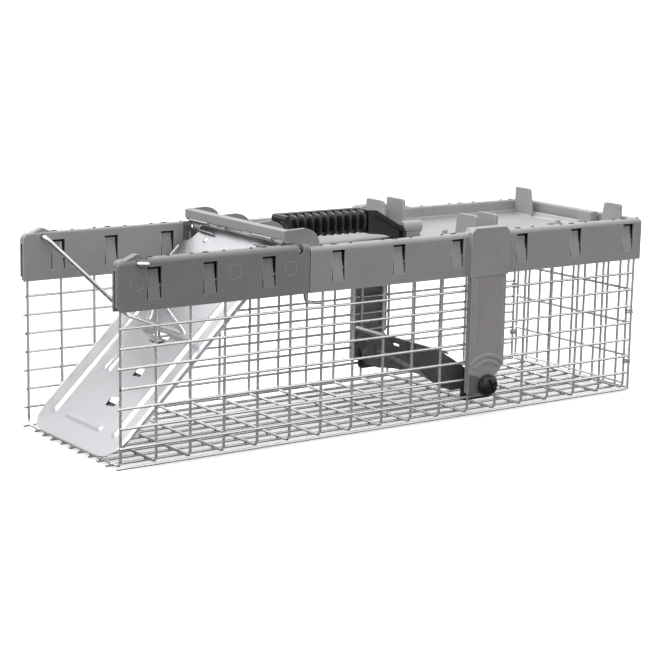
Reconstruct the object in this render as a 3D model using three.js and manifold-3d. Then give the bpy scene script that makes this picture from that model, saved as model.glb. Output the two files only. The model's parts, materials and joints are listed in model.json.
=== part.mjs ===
// Live catch trap: a long wire cage under moulded plastic rails and a tray-topped cover, with a
// sloping sheet door at one end, a set lever, a wire lock bail and a trip pan with its rod.
// Millimetres. X runs along the cage with the door at -X, Z is up, the floor's underside is z = 0.
import * as THREE from 'three';
import { mergeGeometries, mergeVertices } from 'three/addons/utils/BufferGeometryUtils.js';
import Module from 'manifold-3d';

const wasm = await Module();
wasm.setup();

// ---- driving dimensions -------------------------------------------------------------------
const GAP = 0.3;
const PITCH_X = 25.4;
const PITCH_Z = 12.7;
const WIRE = 1.9;
const MESH_T = 3.4;
const MESH_X0 = -217.3;
const MESH_COLS = 17;
const ROW_Z0 = 1.9;
const ROWS = 8;
const MESH_END = 219;
const MESH_IN = 62.9;
const MESH_OUT = MESH_IN + MESH_T;
const MESH_TOP = 127;
const FLOOR_HALF = MESH_IN - GAP;

const RAIL_OUT = 68.0;
const RAIL_IN = 60.8;
const RAIL_WALL_OUT = 1.4;
const RAIL_WALL_IN = 1.8;
const RAIL_Z0 = 101.5;
const FRONT_TOP = 134.0;
const COVER_TOP = 131.9;
const WEB = 2.8;
const FRONT_X0 = -221.1;
const FRONT_X1 = -78.9;
const COVER_X0 = -77.9;
const COVER_X1 = 223.6;
const TRAY_Z = 120.8;
const TRAY_T = 2.5;
const TRAY_X0 = -65.4;

const SNAP_FRONT = [-195.5, -154.8, -110.4];
const SNAP_COVER = [-55.5, -5.0, 45.8, 104.8, 156.1, 208.2];
const SNAP_W = 10.5;
const SNAP_Z0 = 108.3;
const SNAP_Z1 = 129.0;

const HINGE = { x: -85.5, z: 129.6 };
const HUB_R = 3.9;
const ROD_R = 1.4;
const BORE_R = 1.7;
const EAR_OUT = 62.3;
const EAR_T = 2.4;
const INNER_EAR = 20.0;

const DOOR_SLOPE = Math.atan(0.97);
const DOOR_FOOT = { x: -217.3, z: 8.76 };
const DOOR_HALF = 57.8;
const DOOR_TOP = 177.8;
const DOOR_T = 0.8;
const RIVET_S = 167;

const BAIL_PIVOT = { x: -206.6, z: 131.0 };
const BAIL_R = 1.6;
const BAIL_LIFT = 3.5;
const BAIL_S = 91.9;
const BAIL_HALF_TOP = 57.5;
const BAIL_HALF_BAR = 36.5;

const GUARD_X0 = 56.5;
const GUARD_X1 = 88.0;
const GUARD_OUT = 71.5;
const AXLE = { x: 72.3, z: 23.3 };
const KNOB_R = 7.6;
const PAN_HALF = 52.0;
const ARM_IN = 54.0;
const ARM_OUT = 56.0;
const ROD_Z = 112.0;
const ROD_Y = 58.2;

// ---- geometry helpers ---------------------------------------------------------------------
function solid(geometry) {
  const g = geometry.clone();
  g.deleteAttribute('normal');
  g.deleteAttribute('uv');
  const merged = mergeVertices(g, 1e-4);
  return new wasm.Manifold(new wasm.Mesh({
    numProp: 3,
    vertProperties: new Float32Array(merged.attributes.position.array),
    triVerts: new Uint32Array(merged.index.array),
  }));
}

function toGeometry(manifold) {
  const mesh = manifold.getMesh();
  const g = new THREE.BufferGeometry();
  g.setAttribute('position', new THREE.BufferAttribute(new Float32Array(mesh.vertProperties), 3));
  g.setIndex(new THREE.BufferAttribute(new Uint32Array(mesh.triVerts), 1));
  g.computeVertexNormals();
  return g;
}

function shapeOf(points, holes = []) {
  const shape = new THREE.Shape(points.map(([a, b]) => new THREE.Vector2(a, b)));
  for (const hole of holes) {
    shape.holes.push(new THREE.Path(hole.map(([a, b]) => new THREE.Vector2(a, b))));
  }
  return shape;
}

function extrude(points, depth, holes) {
  return new THREE.ExtrudeGeometry(shapeOf(points, holes), {
    depth, bevelEnabled: false, curveSegments: 8,
  });
}

// Outline in X and Z, swept along Y from y0 to y1.
function prismXZ(points, y0, y1, holes) {
  return extrude(points, y1 - y0, holes).rotateX(Math.PI / 2).translate(0, y1, 0);
}

// Outline in Y and Z, swept along X from x0 to x1.
function prismYZ(points, x0, x1, holes) {
  const basis = new THREE.Matrix4().makeBasis(
    new THREE.Vector3(0, 1, 0), new THREE.Vector3(0, 0, 1), new THREE.Vector3(1, 0, 0),
  );
  return extrude(points, x1 - x0, holes).applyMatrix4(basis).translate(x0, 0, 0);
}

function box(x0, x1, y0, y1, z0, z1) {
  const g = new THREE.BoxGeometry(x1 - x0, y1 - y0, z1 - z0);
  return g.translate((x0 + x1) / 2, (y0 + y1) / 2, (z0 + z1) / 2);
}

// The same box given by distances from the cage's centre plane, on one side of it.
function sideBox(side, x0, x1, d0, d1, z0, z1) {
  return side > 0 ? box(x0, x1, d0, d1, z0, z1) : box(x0, x1, -d1, -d0, z0, z1);
}

function sidePrism(side, points, d0, d1, holes) {
  return side > 0 ? prismXZ(points, d0, d1, holes) : prismXZ(points, -d1, -d0, holes);
}

function rod(at, y0, y1, radius, segments = 16) {
  const g = new THREE.CylinderGeometry(radius, radius, y1 - y0, segments);
  return g.translate(at.x, (y0 + y1) / 2, at.z);
}

function rect(a0, a1, b0, b1) {
  return [[a0, b0], [a1, b0], [a1, b1], [a0, b1]];
}

function arc(cx, cy, r, from, to, count) {
  const points = [];
  for (let i = 0; i <= count; i += 1) {
    const a = THREE.MathUtils.degToRad(from + ((to - from) * i) / count);
    points.push([cx + r * Math.cos(a), cy + r * Math.sin(a)]);
  }
  return points;
}

function union(geometries) {
  return geometries.map(solid).reduce((sum, next) => sum.add(next));
}

function cut(manifold, geometries) {
  return geometries.map(solid).reduce((left, next) => left.subtract(next), manifold);
}

// A path that passes through its points in order, one step of the sweep per point.
class WirePath extends THREE.Curve {
  constructor(points) {
    super();
    this.points = points;
  }

  getPointAt(u) {
    const i = Math.round(u * (this.points.length - 1));
    return this.points[i].clone();
  }

  getTangentAt(u) {
    const last = this.points.length - 1;
    const i = Math.round(u * last);
    const a = this.points[Math.max(i - 1, 0)];
    const b = this.points[Math.min(i + 1, last)];
    return b.clone().sub(a).normalize();
  }
}

function wire(points, radius, sides = 8) {
  const circle = new THREE.Shape(arc(0, 0, radius, 0, 360 - 360 / sides, sides - 1)
    .map(([a, b]) => new THREE.Vector2(a, b)));
  return new THREE.ExtrudeGeometry(circle, {
    steps: points.length - 1, extrudePath: new WirePath(points), bevelEnabled: false,
  });
}

// Straight runs between corners, each corner rounded off over the given length.
function bent(corners, reach, count = 5) {
  const out = [corners[0].clone()];
  for (let i = 1; i < corners.length - 1; i += 1) {
    const c = corners[i];
    const a = c.clone().add(corners[i - 1].clone().sub(c).setLength(reach));
    const b = c.clone().add(corners[i + 1].clone().sub(c).setLength(reach));
    const bend = new THREE.QuadraticBezierCurve3(a, c, b);
    out.push(...bend.getPoints(count));
  }
  out.push(corners[corners.length - 1].clone());
  return out;
}

const v = (x, y, z) => new THREE.Vector3(x, y, z);

// A point on the door: y across, s up the slope from its foot, n out of its outer face.
function onDoor(y, s, n) {
  const c = Math.cos(DOOR_SLOPE);
  const k = Math.sin(DOOR_SLOPE);
  return v(DOOR_FOOT.x + s * c - n * k, y, DOOR_FOOT.z + s * k + n * c);
}

// Outline in Y and slope distance, from depth n1 below the outer face up to n0 above it.
function doorPrism(points, n0, n1) {
  const c = Math.cos(DOOR_SLOPE);
  const k = Math.sin(DOOR_SLOPE);
  const basis = new THREE.Matrix4().makeBasis(v(0, 1, 0), v(c, 0, k), v(k, 0, -c));
  basis.setPosition(onDoor(0, 0, n0));
  return extrude(points, n0 + n1).applyMatrix4(basis);
}

// ---- wire mesh ----------------------------------------------------------------------------
function wireX(k) {
  return MESH_X0 + PITCH_X * k;
}

function rowZ(j) {
  return ROW_Z0 + PITCH_Z * j;
}

// Spans between the wires that stand at the given lines.
function spans(lines) {
  const out = [];
  for (let i = 0; i < lines.length - 1; i += 1) {
    out.push([lines[i] + WIRE / 2, lines[i + 1] - WIRE / 2]);
  }
  return out;
}

// One open window per mesh cell; place turns a cell's two spans into a box.
function windows(spansA, spansB, place) {
  const boxes = [];
  for (const [a0, a1] of spansA) {
    for (const [b0, b1] of spansB) boxes.push(place(a0, a1, b0, b1));
  }
  return mergeGeometries(boxes);
}

function columns() {
  return spans(Array.from({ length: MESH_COLS + 1 }, (_, k) => wireX(k)));
}

function acrossLines() {
  const inner = [-50.8, -38.1, -25.4, -12.7, 0, 12.7, 25.4, 38.1, 50.8];
  const edge = FLOOR_HALF - WIRE / 2;
  return [-edge, ...inner, edge];
}

function sideMesh(side) {
  const rows = spans(Array.from({ length: ROWS + 1 }, (_, j) => rowZ(j)));
  const holes = windows(columns(), rows, (x0, x1, z0, z1) => (
    sideBox(side, x0, x1, MESH_IN - 1, MESH_OUT + 1, z0, z1)
  ));
  const plate = union([sideBox(side, -MESH_END, MESH_END, MESH_IN, MESH_OUT, 0, MESH_TOP)]);
  return cut(plate, [holes]);
}

function floorMesh() {
  const holes = windows(columns(), spans(acrossLines()), (x0, x1, y0, y1) => (
    box(x0, x1, y0, y1, -1, MESH_T + 1)
  ));
  return cut(union([box(-MESH_END, 215.1, -FLOOR_HALF, FLOOR_HALF, 0, MESH_T)]), [holes]);
}

function rearMesh() {
  const rows = spans([0, 1, 2, 3, 4].map((k) => ROW_Z0 + PITCH_X * k));
  const holes = windows(spans(acrossLines()), rows, (y0, y1, z0, z1) => box(214, 220, y0, y1, z0, z1));
  return cut(union([box(215.4, 218.8, -FLOOR_HALF, FLOOR_HALF, 0, MESH_TOP)]), [holes]);
}

function cornerClip(side, z) {
  return union([
    sideBox(side, 213.2, 220.2, MESH_OUT + 0.2, MESH_OUT + 1.2, z, z + 5),
    sideBox(side, 219.2, 220.2, 57.5, MESH_OUT + 1.2, z, z + 5),
  ]);
}

// ---- rails and cover ----------------------------------------------------------------------
// Outer wall and top web of one rail, rounded over its outer top edge.
function railShell(side, x0, x1, top) {
  const r = 3.2;
  const corner = arc(RAIL_OUT - r, top - r, r, 0, 90, 5);
  const inner = [
    [RAIL_IN + 1.2, top], [RAIL_IN, top - 1.2], [RAIL_IN, top - WEB],
    [RAIL_OUT - RAIL_WALL_OUT, top - WEB], [RAIL_OUT - RAIL_WALL_OUT, RAIL_Z0],
    [RAIL_OUT, RAIL_Z0],
  ];
  const outline = [...corner, ...inner].map(([d, z]) => [side * d, z]);
  return prismYZ(outline, x0, x1);
}

function railInner(side, x0, x1, top) {
  return sideBox(side, x0, x1, RAIL_IN, RAIL_IN + RAIL_WALL_IN, RAIL_Z0, top - WEB + 0.5);
}

// Slits round three sides of a snap tongue, through both walls of the rail.
function snapSlit(side, x) {
  const a = x - SNAP_W / 2;
  const b = x + SNAP_W / 2;
  const outline = [
    [a, SNAP_Z0], [a + 1.0, SNAP_Z0], [a + 1.0, SNAP_Z1 - 2.2], [b - 2.0, SNAP_Z1 - 2.2],
    [b - 0.9, SNAP_Z0], [b, SNAP_Z0], [b, SNAP_Z1 - 0.8], [a, SNAP_Z1 - 0.8],
  ];
  return sidePrism(side, outline, RAIL_IN - 1, RAIL_OUT + 1);
}

function earPocket(side) {
  return sideBox(side, -98, -66, RAIL_IN - 1, MESH_IN - 0.2, 116, FRONT_TOP + 1);
}

function frontRail(side) {
  const boss = [
    [BAIL_PIVOT.x - 6.5, FRONT_TOP - 1],
    ...arc(BAIL_PIVOT.x, FRONT_TOP - 2.2, 5, 150, 30, 6),
    [BAIL_PIVOT.x + 6.5, FRONT_TOP - 1],
  ];
  const body = union([
    railShell(side, FRONT_X0, FRONT_X1, FRONT_TOP),
    railInner(side, FRONT_X0, FRONT_X1, FRONT_TOP),
    sidePrism(side, boss, RAIL_IN + 0.6, RAIL_OUT - 1.2),
  ]);
  const low = side > 0 ? 55 : -75;
  const cuts = SNAP_FRONT.map((x) => snapSlit(side, x));
  return cut(body, [
    ...cuts,
    earPocket(side),
    rod(BAIL_PIVOT, low, low + 20, BAIL_R + GAP),
    rod(HINGE, low, low + 20, BORE_R),
  ]);
}

function shroud(side) {
  const outline = [
    [GUARD_X0 - 1, RAIL_Z0], [GUARD_X1 + 1, RAIL_Z0], [GUARD_X1 + 1, 131],
    [GUARD_X1 - 3.5, 135.4], [GUARD_X0 + 3.5, 135.4], [GUARD_X0 - 1, 131],
  ];
  const cap = [
    [GUARD_X0 - 0.4, COVER_TOP - 0.6], [GUARD_X1 + 0.4, COVER_TOP - 0.6],
    [GUARD_X1 - 3.5, 135.4], [GUARD_X0 + 3.5, 135.4],
  ];
  return [
    sidePrism(side, outline, RAIL_OUT - RAIL_WALL_OUT, GUARD_OUT + 0.4),
    sidePrism(side, cap, RAIL_IN + 0.8, RAIL_OUT),
  ];
}

// Upstanding plate across the tray: base from d0 to d1, the d0 side leaning outwards.
function fin(side, x, d0, d1, top) {
  const outline = [
    [d0, TRAY_Z - 1], [d1, TRAY_Z - 1], [d1, top - 1.5], [d1 - 1.5, top],
    [d0 + 4.2, top], [d0 + 2.6, top - 1.5],
  ].map(([d, z]) => [side * d, z]);
  return prismYZ(outline, x - 1.1, x + 1.1);
}

function knuckle(x0, x1, z, r) {
  const outline = [
    [r, TRAY_Z - 1], ...arc(0, z, r, 0, 180, 10), [-r, TRAY_Z - 1],
  ];
  return prismYZ(outline, x0, x1);
}

function lug(x, y) {
  const g = new THREE.CylinderGeometry(1.9, 2.3, 4.2, 12).rotateX(Math.PI / 2);
  return g.translate(x, y, TRAY_Z + 1.2);
}

function topCover() {
  const parts = [];
  for (const side of [-1, 1]) {
    parts.push(railShell(side, COVER_X0, COVER_X1, COVER_TOP));
    parts.push(railInner(side, COVER_X0, 214.8, COVER_TOP));
    parts.push(...shroud(side));
  }
  parts.push(box(222.0, COVER_X1, -67, 67, RAIL_Z0, COVER_TOP - 0.6));
  parts.push(box(213.0, 214.8, -61.5, 61.5, RAIL_Z0, COVER_TOP - 1));
  parts.push(box(213.0, COVER_X1 - 0.3, -67, 67, COVER_TOP - WEB, COVER_TOP));
  parts.push(box(TRAY_X0, 213.6, -61.2, 61.2, TRAY_Z - TRAY_T, TRAY_Z));
  parts.push(box(TRAY_X0, TRAY_X0 + 1.8, -61.2, 61.2, 114, 128.6));
  parts.push(fin(1, 62.1, 36.5, 60.4, 141.9), fin(1, 81.2, 36.5, 60.4, 141.9));
  parts.push(fin(-1, 70.5, 34.2, 58.3, 141.9), fin(-1, 88.6, 34.2, 58.3, 141.9));
  parts.push(fin(1, 209.5, 40.0, 60.4, 142.4), fin(-1, 209.5, 37.5, 58.3, 141.9));
  parts.push(knuckle(48.5, 64.5, 128.0, 4.5), knuckle(-61.0, -52.0, 125.2, 3.8));
  parts.push(lug(90, 1.4), lug(186.6, -6), lug(201.8, 2));
  parts.push(box(207.4, 213.6, -27.8, -14.8, TRAY_Z - 1, 133.0));
  const cuts = [];
  for (const side of [-1, 1]) {
    cuts.push(...SNAP_COVER.map((x) => snapSlit(side, x)));
    cuts.push(earPocket(side));
  }
  cuts.push(box(212, COVER_X1 + 1, -14.0, -11.6, 127.2, COVER_TOP + 1));
  cuts.push(new THREE.CylinderGeometry(2.9, 2.9, 9.6, 14).rotateZ(Math.PI / 2).translate(52, 0, 127.2));
  cuts.push(new THREE.CylinderGeometry(2.4, 2.4, 8, 14).rotateZ(Math.PI / 2).translate(-55, 0, 125.0));
  return cut(union(parts), cuts);
}

// ---- grip ---------------------------------------------------------------------------------
function handleGrip() {
  const outline = [
    [-44.0, 121.1], [-46.5, 122.4], [-56.4, 137.6], [-58.4, 141.6], [-57.6, 143.3], [-55.4, 143.9],
    [18.6, 143.9], [24.0, 142.4], [46.6, 129.4], [46.6, 121.1],
  ];
  const gap = [[-41.6, 124.0], [30.5, 124.0], [24.5, 126.8], [-43.4, 126.8]];
  const peg = (x0, x1, z, r) => new THREE.CylinderGeometry(r, r, x1 - x0, 14)
    .rotateZ(Math.PI / 2).translate((x0 + x1) / 2, 0, z);
  const body = union([
    prismXZ(outline, -8.6, 8.6, [gap]),
    peg(44, 55.5, 127.2, 2.5),
    peg(-57.5, -46.0, 125.0, 2.0),
  ]);
  const grooves = [];
  for (let i = 0; i < 11; i += 1) {
    const x = -48.4 + 6.35 * i;
    grooves.push(box(x, x + 3.0, 6.6, 9.5, 130.9, 145));
    grooves.push(box(x, x + 3.0, -9.5, -6.6, 130.9, 145));
  }
  return cut(body, grooves);
}

// ---- set lever, door and their hinge ------------------------------------------------------
function setLever() {
  const ear = [
    [-94.6, 135.3], [-88.3, 134.6], [-87.6, 133.2], [-89.0, 130.2], [-88.2, 127.2], [-85.5, 126.0],
    [-80.5, 127.2], [-73.6, 131.4], [-67.6, 131.9], [-67.2, 133.6], [-67.9, 136.2], [-70.5, 139.8],
    [-74.5, 142.6], [-78.9, 143.7], [-94.6, 143.2],
  ];
  const parts = [
    box(-95.4, -89.8, -EAR_OUT, EAR_OUT, 135.3, 143.1),
    rod(HINGE, -EAR_OUT, EAR_OUT, HUB_R, 20),
  ];
  for (const d of [EAR_OUT - EAR_T, INNER_EAR]) {
    parts.push(prismXZ(ear, d, d + EAR_T), prismXZ(ear, -d - EAR_T, -d));
  }
  for (const y of [-31, 31]) {
    parts.push(doorPrism(rect(y - 5, y + 5, 162, 176.5), -DOOR_T - GAP, DOOR_T + GAP + 2.2));
  }
  const cuts = [rod(HINGE, -70, 70, BORE_R)];
  for (const y of [-31, 31]) {
    cuts.push(doorPrism(arc(y, RIVET_S, 1.5, 0, 330, 11), 1, 8));
  }
  return cut(union(parts), cuts);
}

function stadium(y, s0, s1, r) {
  return [...arc(y, s1, r, 0, 180, 6), ...arc(y, s0, r, 180, 360, 6)];
}

function doorPanel() {
  const half = [
    [39.0, -5.1], [47.5, -3.9], [54.5, 3.0], [57.3, 11.5], [DOOR_HALF, 15.0], [DOOR_HALF, 160.5],
    [56.0, 163.0], [51.5, 163.6], [48.5, 166.4], [46.6, 172.0], [46.0, DOOR_TOP],
  ];
  const outline = [...half, ...half.slice().reverse().map(([y, s]) => [-y, s])];
  const parts = [doorPrism(outline, 0, DOOR_T)];
  for (const side of [-1, 1]) {
    parts.push(doorPrism(stadium(side * 41, 10.5, 126, 1.7), 0.9, 0.4));
    parts.push(doorPrism(rect(...[side * 57, side * DOOR_HALF].sort((a, b) => a - b), 16, 158), 0, 4));
  }
  parts.push(doorPrism(rect(-22, 23, 10.2, 13.0), 0.8, 0.4));
  parts.push(doorPrism(rect(-17, -8, 30, 36), 1.6, 0.4), doorPrism(rect(-18, -9, 55.5, 61), 1.6, 0.4));
  parts.push(doorPrism(rect(-4, 5, 81.0, 84.6), 2.6, 0.4));
  const cuts = [-31, 31].map((y) => doorPrism(arc(y, RIVET_S, 1.5, 0, 330, 11), 1, 3));
  return cut(union(parts), cuts);
}

// Rivet through the door sheet into the lever's pad.
function doorRivet(y) {
  return union([
    doorPrism(arc(y, RIVET_S, 2.6, 0, 330, 11), 1.0, -GAP + 0.2),
    doorPrism(arc(y, RIVET_S, 1.2, 0, 330, 11), 0.9, DOOR_T + GAP + 3.0),
    doorPrism(arc(y, RIVET_S, 2.4, 0, 330, 11), -DOOR_T - GAP - 2.5, DOOR_T + GAP + 3.3),
  ]);
}

// Torsion spring round the hub: a coil, a leg across the door and a short tail to the rear.
function doorSpring(side) {
  const steps = 52;
  const perTurn = 12;
  const r = 5.2;
  const points = [onDoor(side * 26, 172, 1.2), onDoor(side * 47.8, 172, 1.2)];
  for (let i = 0; i <= steps; i += 1) {
    const a = THREE.MathUtils.degToRad(150 + (360 * i) / perTurn);
    const y = side * (50.0 + (i / perTurn) * 1.75);
    points.push(v(HINGE.x + r * Math.cos(a), y, HINGE.z + r * Math.sin(a)));
  }
  points.push(v(-79, side * 57.9, 124.0), v(-71, side * 57.9, 122.6));
  return wire(points, 0.7, 6);
}

// ---- lock bail ----------------------------------------------------------------------------
function lockBail() {
  const bar = onDoor(0, BAIL_S, BAIL_R + BAIL_LIFT);
  const end = (side) => v(BAIL_PIVOT.x, side * (RAIL_OUT + 0.4), BAIL_PIVOT.z);
  const shoulder = (side) => v(BAIL_PIVOT.x, side * BAIL_HALF_TOP, BAIL_PIVOT.z);
  const foot = (side) => v(bar.x, side * BAIL_HALF_BAR, bar.z);
  const path = bent([end(-1), shoulder(-1), foot(-1), foot(1), shoulder(1), end(1)], 3.6);
  return wire(path, BAIL_R, 10);
}

// ---- side guards, trip pan and trip rod ---------------------------------------------------
function guardOutline(inset) {
  const x0 = GUARD_X0 + inset;
  const x1 = GUARD_X1 - inset;
  return [
    [x0, 33 + inset], [AXLE.x - 9.4 + inset, 31 + inset],
    ...arc(AXLE.x, AXLE.z, 9.6 - inset, 150, 390, 12),
    [x1 - 4, 31 + inset], [x1, 36 + inset], [x1, 101.1 - inset], [x0, 101.1 - inset],
  ];
}

function sideGuard(side) {
  const back = MESH_OUT + GAP;
  const ring = (r, lift) => {
    const wide = Math.acos((GUARD_X1 - 0.4 - AXLE.x) / r);
    const low = Math.asin((34 - AXLE.z) / r);
    const a = THREE.MathUtils.radToDeg(Math.max(wide, low));
    return sidePrism(side, arc(AXLE.x, AXLE.z, r, a, 180 - a, 12), GUARD_OUT - 1, GUARD_OUT + lift);
  };
  const parts = [
    sidePrism(side, guardOutline(0), GUARD_OUT - 1.5, GUARD_OUT),
    ring(21.5, 0.35),
    ring(17.8, 0.7),
    sideBox(side, GUARD_X0 + 5.0, GUARD_X1 - 4.2, GUARD_OUT - 1, GUARD_OUT + 0.35, 40, 101.1),
  ];
  for (const x of [GUARD_X0, GUARD_X1 - 1.7]) {
    parts.push(sideBox(side, x, x + 1.7, back, GUARD_OUT - 1, 37, 101.1));
  }
  for (const z of [41, 52.7, 78]) {
    parts.push(sideBox(side, GUARD_X0 + 1, GUARD_X1 - 1, back + 0.6, GUARD_OUT - 1, z, z + 1.6));
  }
  const low = side > 0 ? 60 : -80;
  return cut(union(parts), [rod(AXLE, low, low + 20, BORE_R)]);
}

function guardBracket(side) {
  const outline = [[58, 11], [86.6, 11], [86.6, 30], [82, 35], [62, 35], [58, 31]];
  const plate = solid(sidePrism(side, outline, 60.4, MESH_IN - GAP));
  const low = side > 0 ? 55 : -75;
  return cut(plate, [rod(AXLE, low, low + 20, BORE_R)]);
}

function axleKnob(side) {
  const profile = [
    [0, 0], [KNOB_R - 0.6, 0], [KNOB_R, 0.6], [KNOB_R, 2.4], [KNOB_R - 1.0, 3.6],
    [KNOB_R - 3.0, 4.8], [2.4, 5.4], [0, 5.5],
  ].map(([r, h]) => new THREE.Vector2(r, h));
  const g = new THREE.LatheGeometry(profile, 28);
  if (side < 0) g.rotateX(Math.PI);
  g.translate(AXLE.x, side * (GUARD_OUT + 1.0), AXLE.z);
  const y0 = side > 0 ? 71 : -75.4;
  return cut(solid(g), [rod(AXLE, y0, y0 + 4.4, BORE_R)]);
}

function tripPan() {
  const plate = [
    [46.0, 47.0], [47.0, 47.0], [48.6, 46.2], [58.2, 17.0], [57.4, 16.4], [56.6, 16.8],
  ];
  const lip = [[46.0, 47.0], [47.0, 47.0], [53.2, 44.6], [53.0, 43.6], [47.6, 45.7]];
  const flange = [
    [47.2, 46.2], [59.5, 38.6], [71.5, 30.4], [76.8, 27.4], [77.6, 20.6], [72.3, 17.4], [57.4, 16.6],
  ];
  const body = union([
    prismXZ(plate, -PAN_HALF, PAN_HALF),
    prismXZ(lip, -PAN_HALF, PAN_HALF),
    prismXZ(flange, PAN_HALF - 1.2, PAN_HALF),
    prismXZ(flange, -PAN_HALF, -PAN_HALF + 1.2),
  ]);
  const arch = [
    [-40, 10], [40, 10], [30, 20.5], [16, 24.5], [-16, 26.5], [-32, 22],
  ];
  const across = (points) => prismYZ(points, 40, 62);
  return cut(body, [
    across(arch),
    across(rect(-1.8, 7.2, 40.4, 42.2)),
    across(arc(30.5, 32.5, 2.0, 0, 330, 11)),
    rod(AXLE, -60, 60, BORE_R),
  ]);
}

function tripArm() {
  const outline = [
    [AXLE.x - 5, 17], [AXLE.x + 5, 17], [AXLE.x + 5, 30], [AXLE.x + 4, 36], [AXLE.x + 4, 115],
    [AXLE.x + 2.6, 116.6], [AXLE.x - 2.6, 116.6], [AXLE.x - 4, 115], [AXLE.x - 4, 36], [AXLE.x - 5, 30],
  ];
  const plate = solid(prismXZ(outline, -ARM_OUT, -ARM_IN));
  const top = { x: AXLE.x, z: ROD_Z };
  return cut(plate, [rod(AXLE, -60, -50, BORE_R), rod(top, -60, -50, 2.1)]);
}

function tripRod() {
  const corners = [
    v(AXLE.x, -51.4, ROD_Z), v(AXLE.x, -ROD_Y, ROD_Z), v(-77.0, -ROD_Y, ROD_Z),
    v(-74.8, -ROD_Y, 94.0), v(-60.0, -ROD_Y, 91.8),
  ];
  return wire(bent(corners, 3.2, 4), 1.2, 8);
}

// ---- assembly -----------------------------------------------------------------------------
const COLOURS = {
  plastic: [0x6f7170, 0.62, 0.0],
  guard: [0x858280, 0.58, 0.0],
  black: [0x1c1b1d, 0.5, 0.0],
  sheet: [0xc9ccd0, 0.35, 0.9],
  galvanised: [0xb4b8ba, 0.38, 0.9],
  bright: [0xd4d6d8, 0.25, 0.95],
  spring: [0x8f9496, 0.35, 0.95],
  pan: [0x23282a, 0.5, 0.1],
};

function material(name) {
  const [color, roughness, metalness] = COLOURS[name];
  return new THREE.MeshStandardMaterial({ color, roughness, metalness });
}

const trap = new THREE.Group();
trap.name = 'live_catch_trap';

function add(name, look, shape) {
  const geometry = shape.getMesh ? toGeometry(shape) : shape;
  const mesh = new THREE.Mesh(geometry, material(look));
  mesh.name = name;
  trap.add(mesh);
}

add('near_side_mesh', 'galvanised', sideMesh(-1));
add('far_side_mesh', 'galvanised', sideMesh(1));
add('floor_mesh', 'galvanised', floorMesh());
add('rear_mesh', 'galvanised', rearMesh());
add('corner_clip_near_low', 'bright', cornerClip(-1, 20.5));
add('corner_clip_near_high', 'bright', cornerClip(-1, 58.6));
add('corner_clip_far_low', 'bright', cornerClip(1, 20.5));
add('corner_clip_far_high', 'bright', cornerClip(1, 58.6));
add('front_rail_near', 'plastic', frontRail(-1));
add('front_rail_far', 'plastic', frontRail(1));
add('top_cover', 'plastic', topCover());
add('handle_grip', 'black', handleGrip());
add('set_lever', 'plastic', setLever());
add('door_panel', 'sheet', doorPanel());
add('door_rivet_near', 'bright', doorRivet(-31));
add('door_rivet_far', 'bright', doorRivet(31));
add('hinge_rod', 'bright', rod(HINGE, -68.3, 68.3, ROD_R, 14));
add('door_spring_near', 'spring', doorSpring(-1));
add('door_spring_far', 'spring', doorSpring(1));
add('lock_bail', 'bright', lockBail());
add('side_guard_near', 'guard', sideGuard(-1));
add('side_guard_far', 'guard', sideGuard(1));
add('guard_bracket_near', 'pan', guardBracket(-1));
add('guard_bracket_far', 'pan', guardBracket(1));
add('pan_axle', 'bright', rod(AXLE, -75, 75, ROD_R, 14));
add('axle_knob_near', 'black', axleKnob(-1));
add('axle_knob_far', 'black', axleKnob(1));
add('trip_pan', 'pan', tripPan());
add('trip_arm', 'bright', tripArm());
add('trip_rod', 'bright', tripRod());

export default trap;
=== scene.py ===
"""The live catch trap's visual model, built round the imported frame.

Shapes are in millimetres until mesh_of() makes a mesh of them. +X runs from the door to the rear, the near
side is -Y, and a "side" is -1 (near) or 1 (far).
"""

import json
import math

import bmesh
import bpy
from mathutils import Matrix, Vector


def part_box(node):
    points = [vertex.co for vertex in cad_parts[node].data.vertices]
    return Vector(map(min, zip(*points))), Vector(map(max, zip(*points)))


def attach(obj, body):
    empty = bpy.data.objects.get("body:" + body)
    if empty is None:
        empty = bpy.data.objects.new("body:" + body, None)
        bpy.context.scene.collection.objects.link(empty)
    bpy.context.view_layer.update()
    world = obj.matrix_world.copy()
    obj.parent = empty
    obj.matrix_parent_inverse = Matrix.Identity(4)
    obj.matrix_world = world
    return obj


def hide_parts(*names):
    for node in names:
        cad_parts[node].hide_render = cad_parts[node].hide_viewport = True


MM = 0.001
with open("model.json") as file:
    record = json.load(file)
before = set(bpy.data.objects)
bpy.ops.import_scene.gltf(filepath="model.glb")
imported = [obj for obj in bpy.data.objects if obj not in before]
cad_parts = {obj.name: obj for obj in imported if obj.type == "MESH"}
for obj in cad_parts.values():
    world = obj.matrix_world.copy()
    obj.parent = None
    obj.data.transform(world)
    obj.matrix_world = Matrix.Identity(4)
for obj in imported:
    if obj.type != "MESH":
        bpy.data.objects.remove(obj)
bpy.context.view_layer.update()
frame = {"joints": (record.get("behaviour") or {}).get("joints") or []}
scene = bpy.context.scene
scene.view_settings.view_transform = "Standard"


def span(node):
    """(x0, x1), (y0, y1), (z0, z1) of a CAD node, in millimetres."""
    lo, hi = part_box(node)
    return [(lo[i] / MM, hi[i] / MM) for i in range(3)]


def pivot(name):
    """(x, z) of a joint's axis, in millimetres."""
    x, _, z = next(joint for joint in frame["joints"] if joint["name"] == name)["pos_m"]
    return x / MM, z / MM


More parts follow.
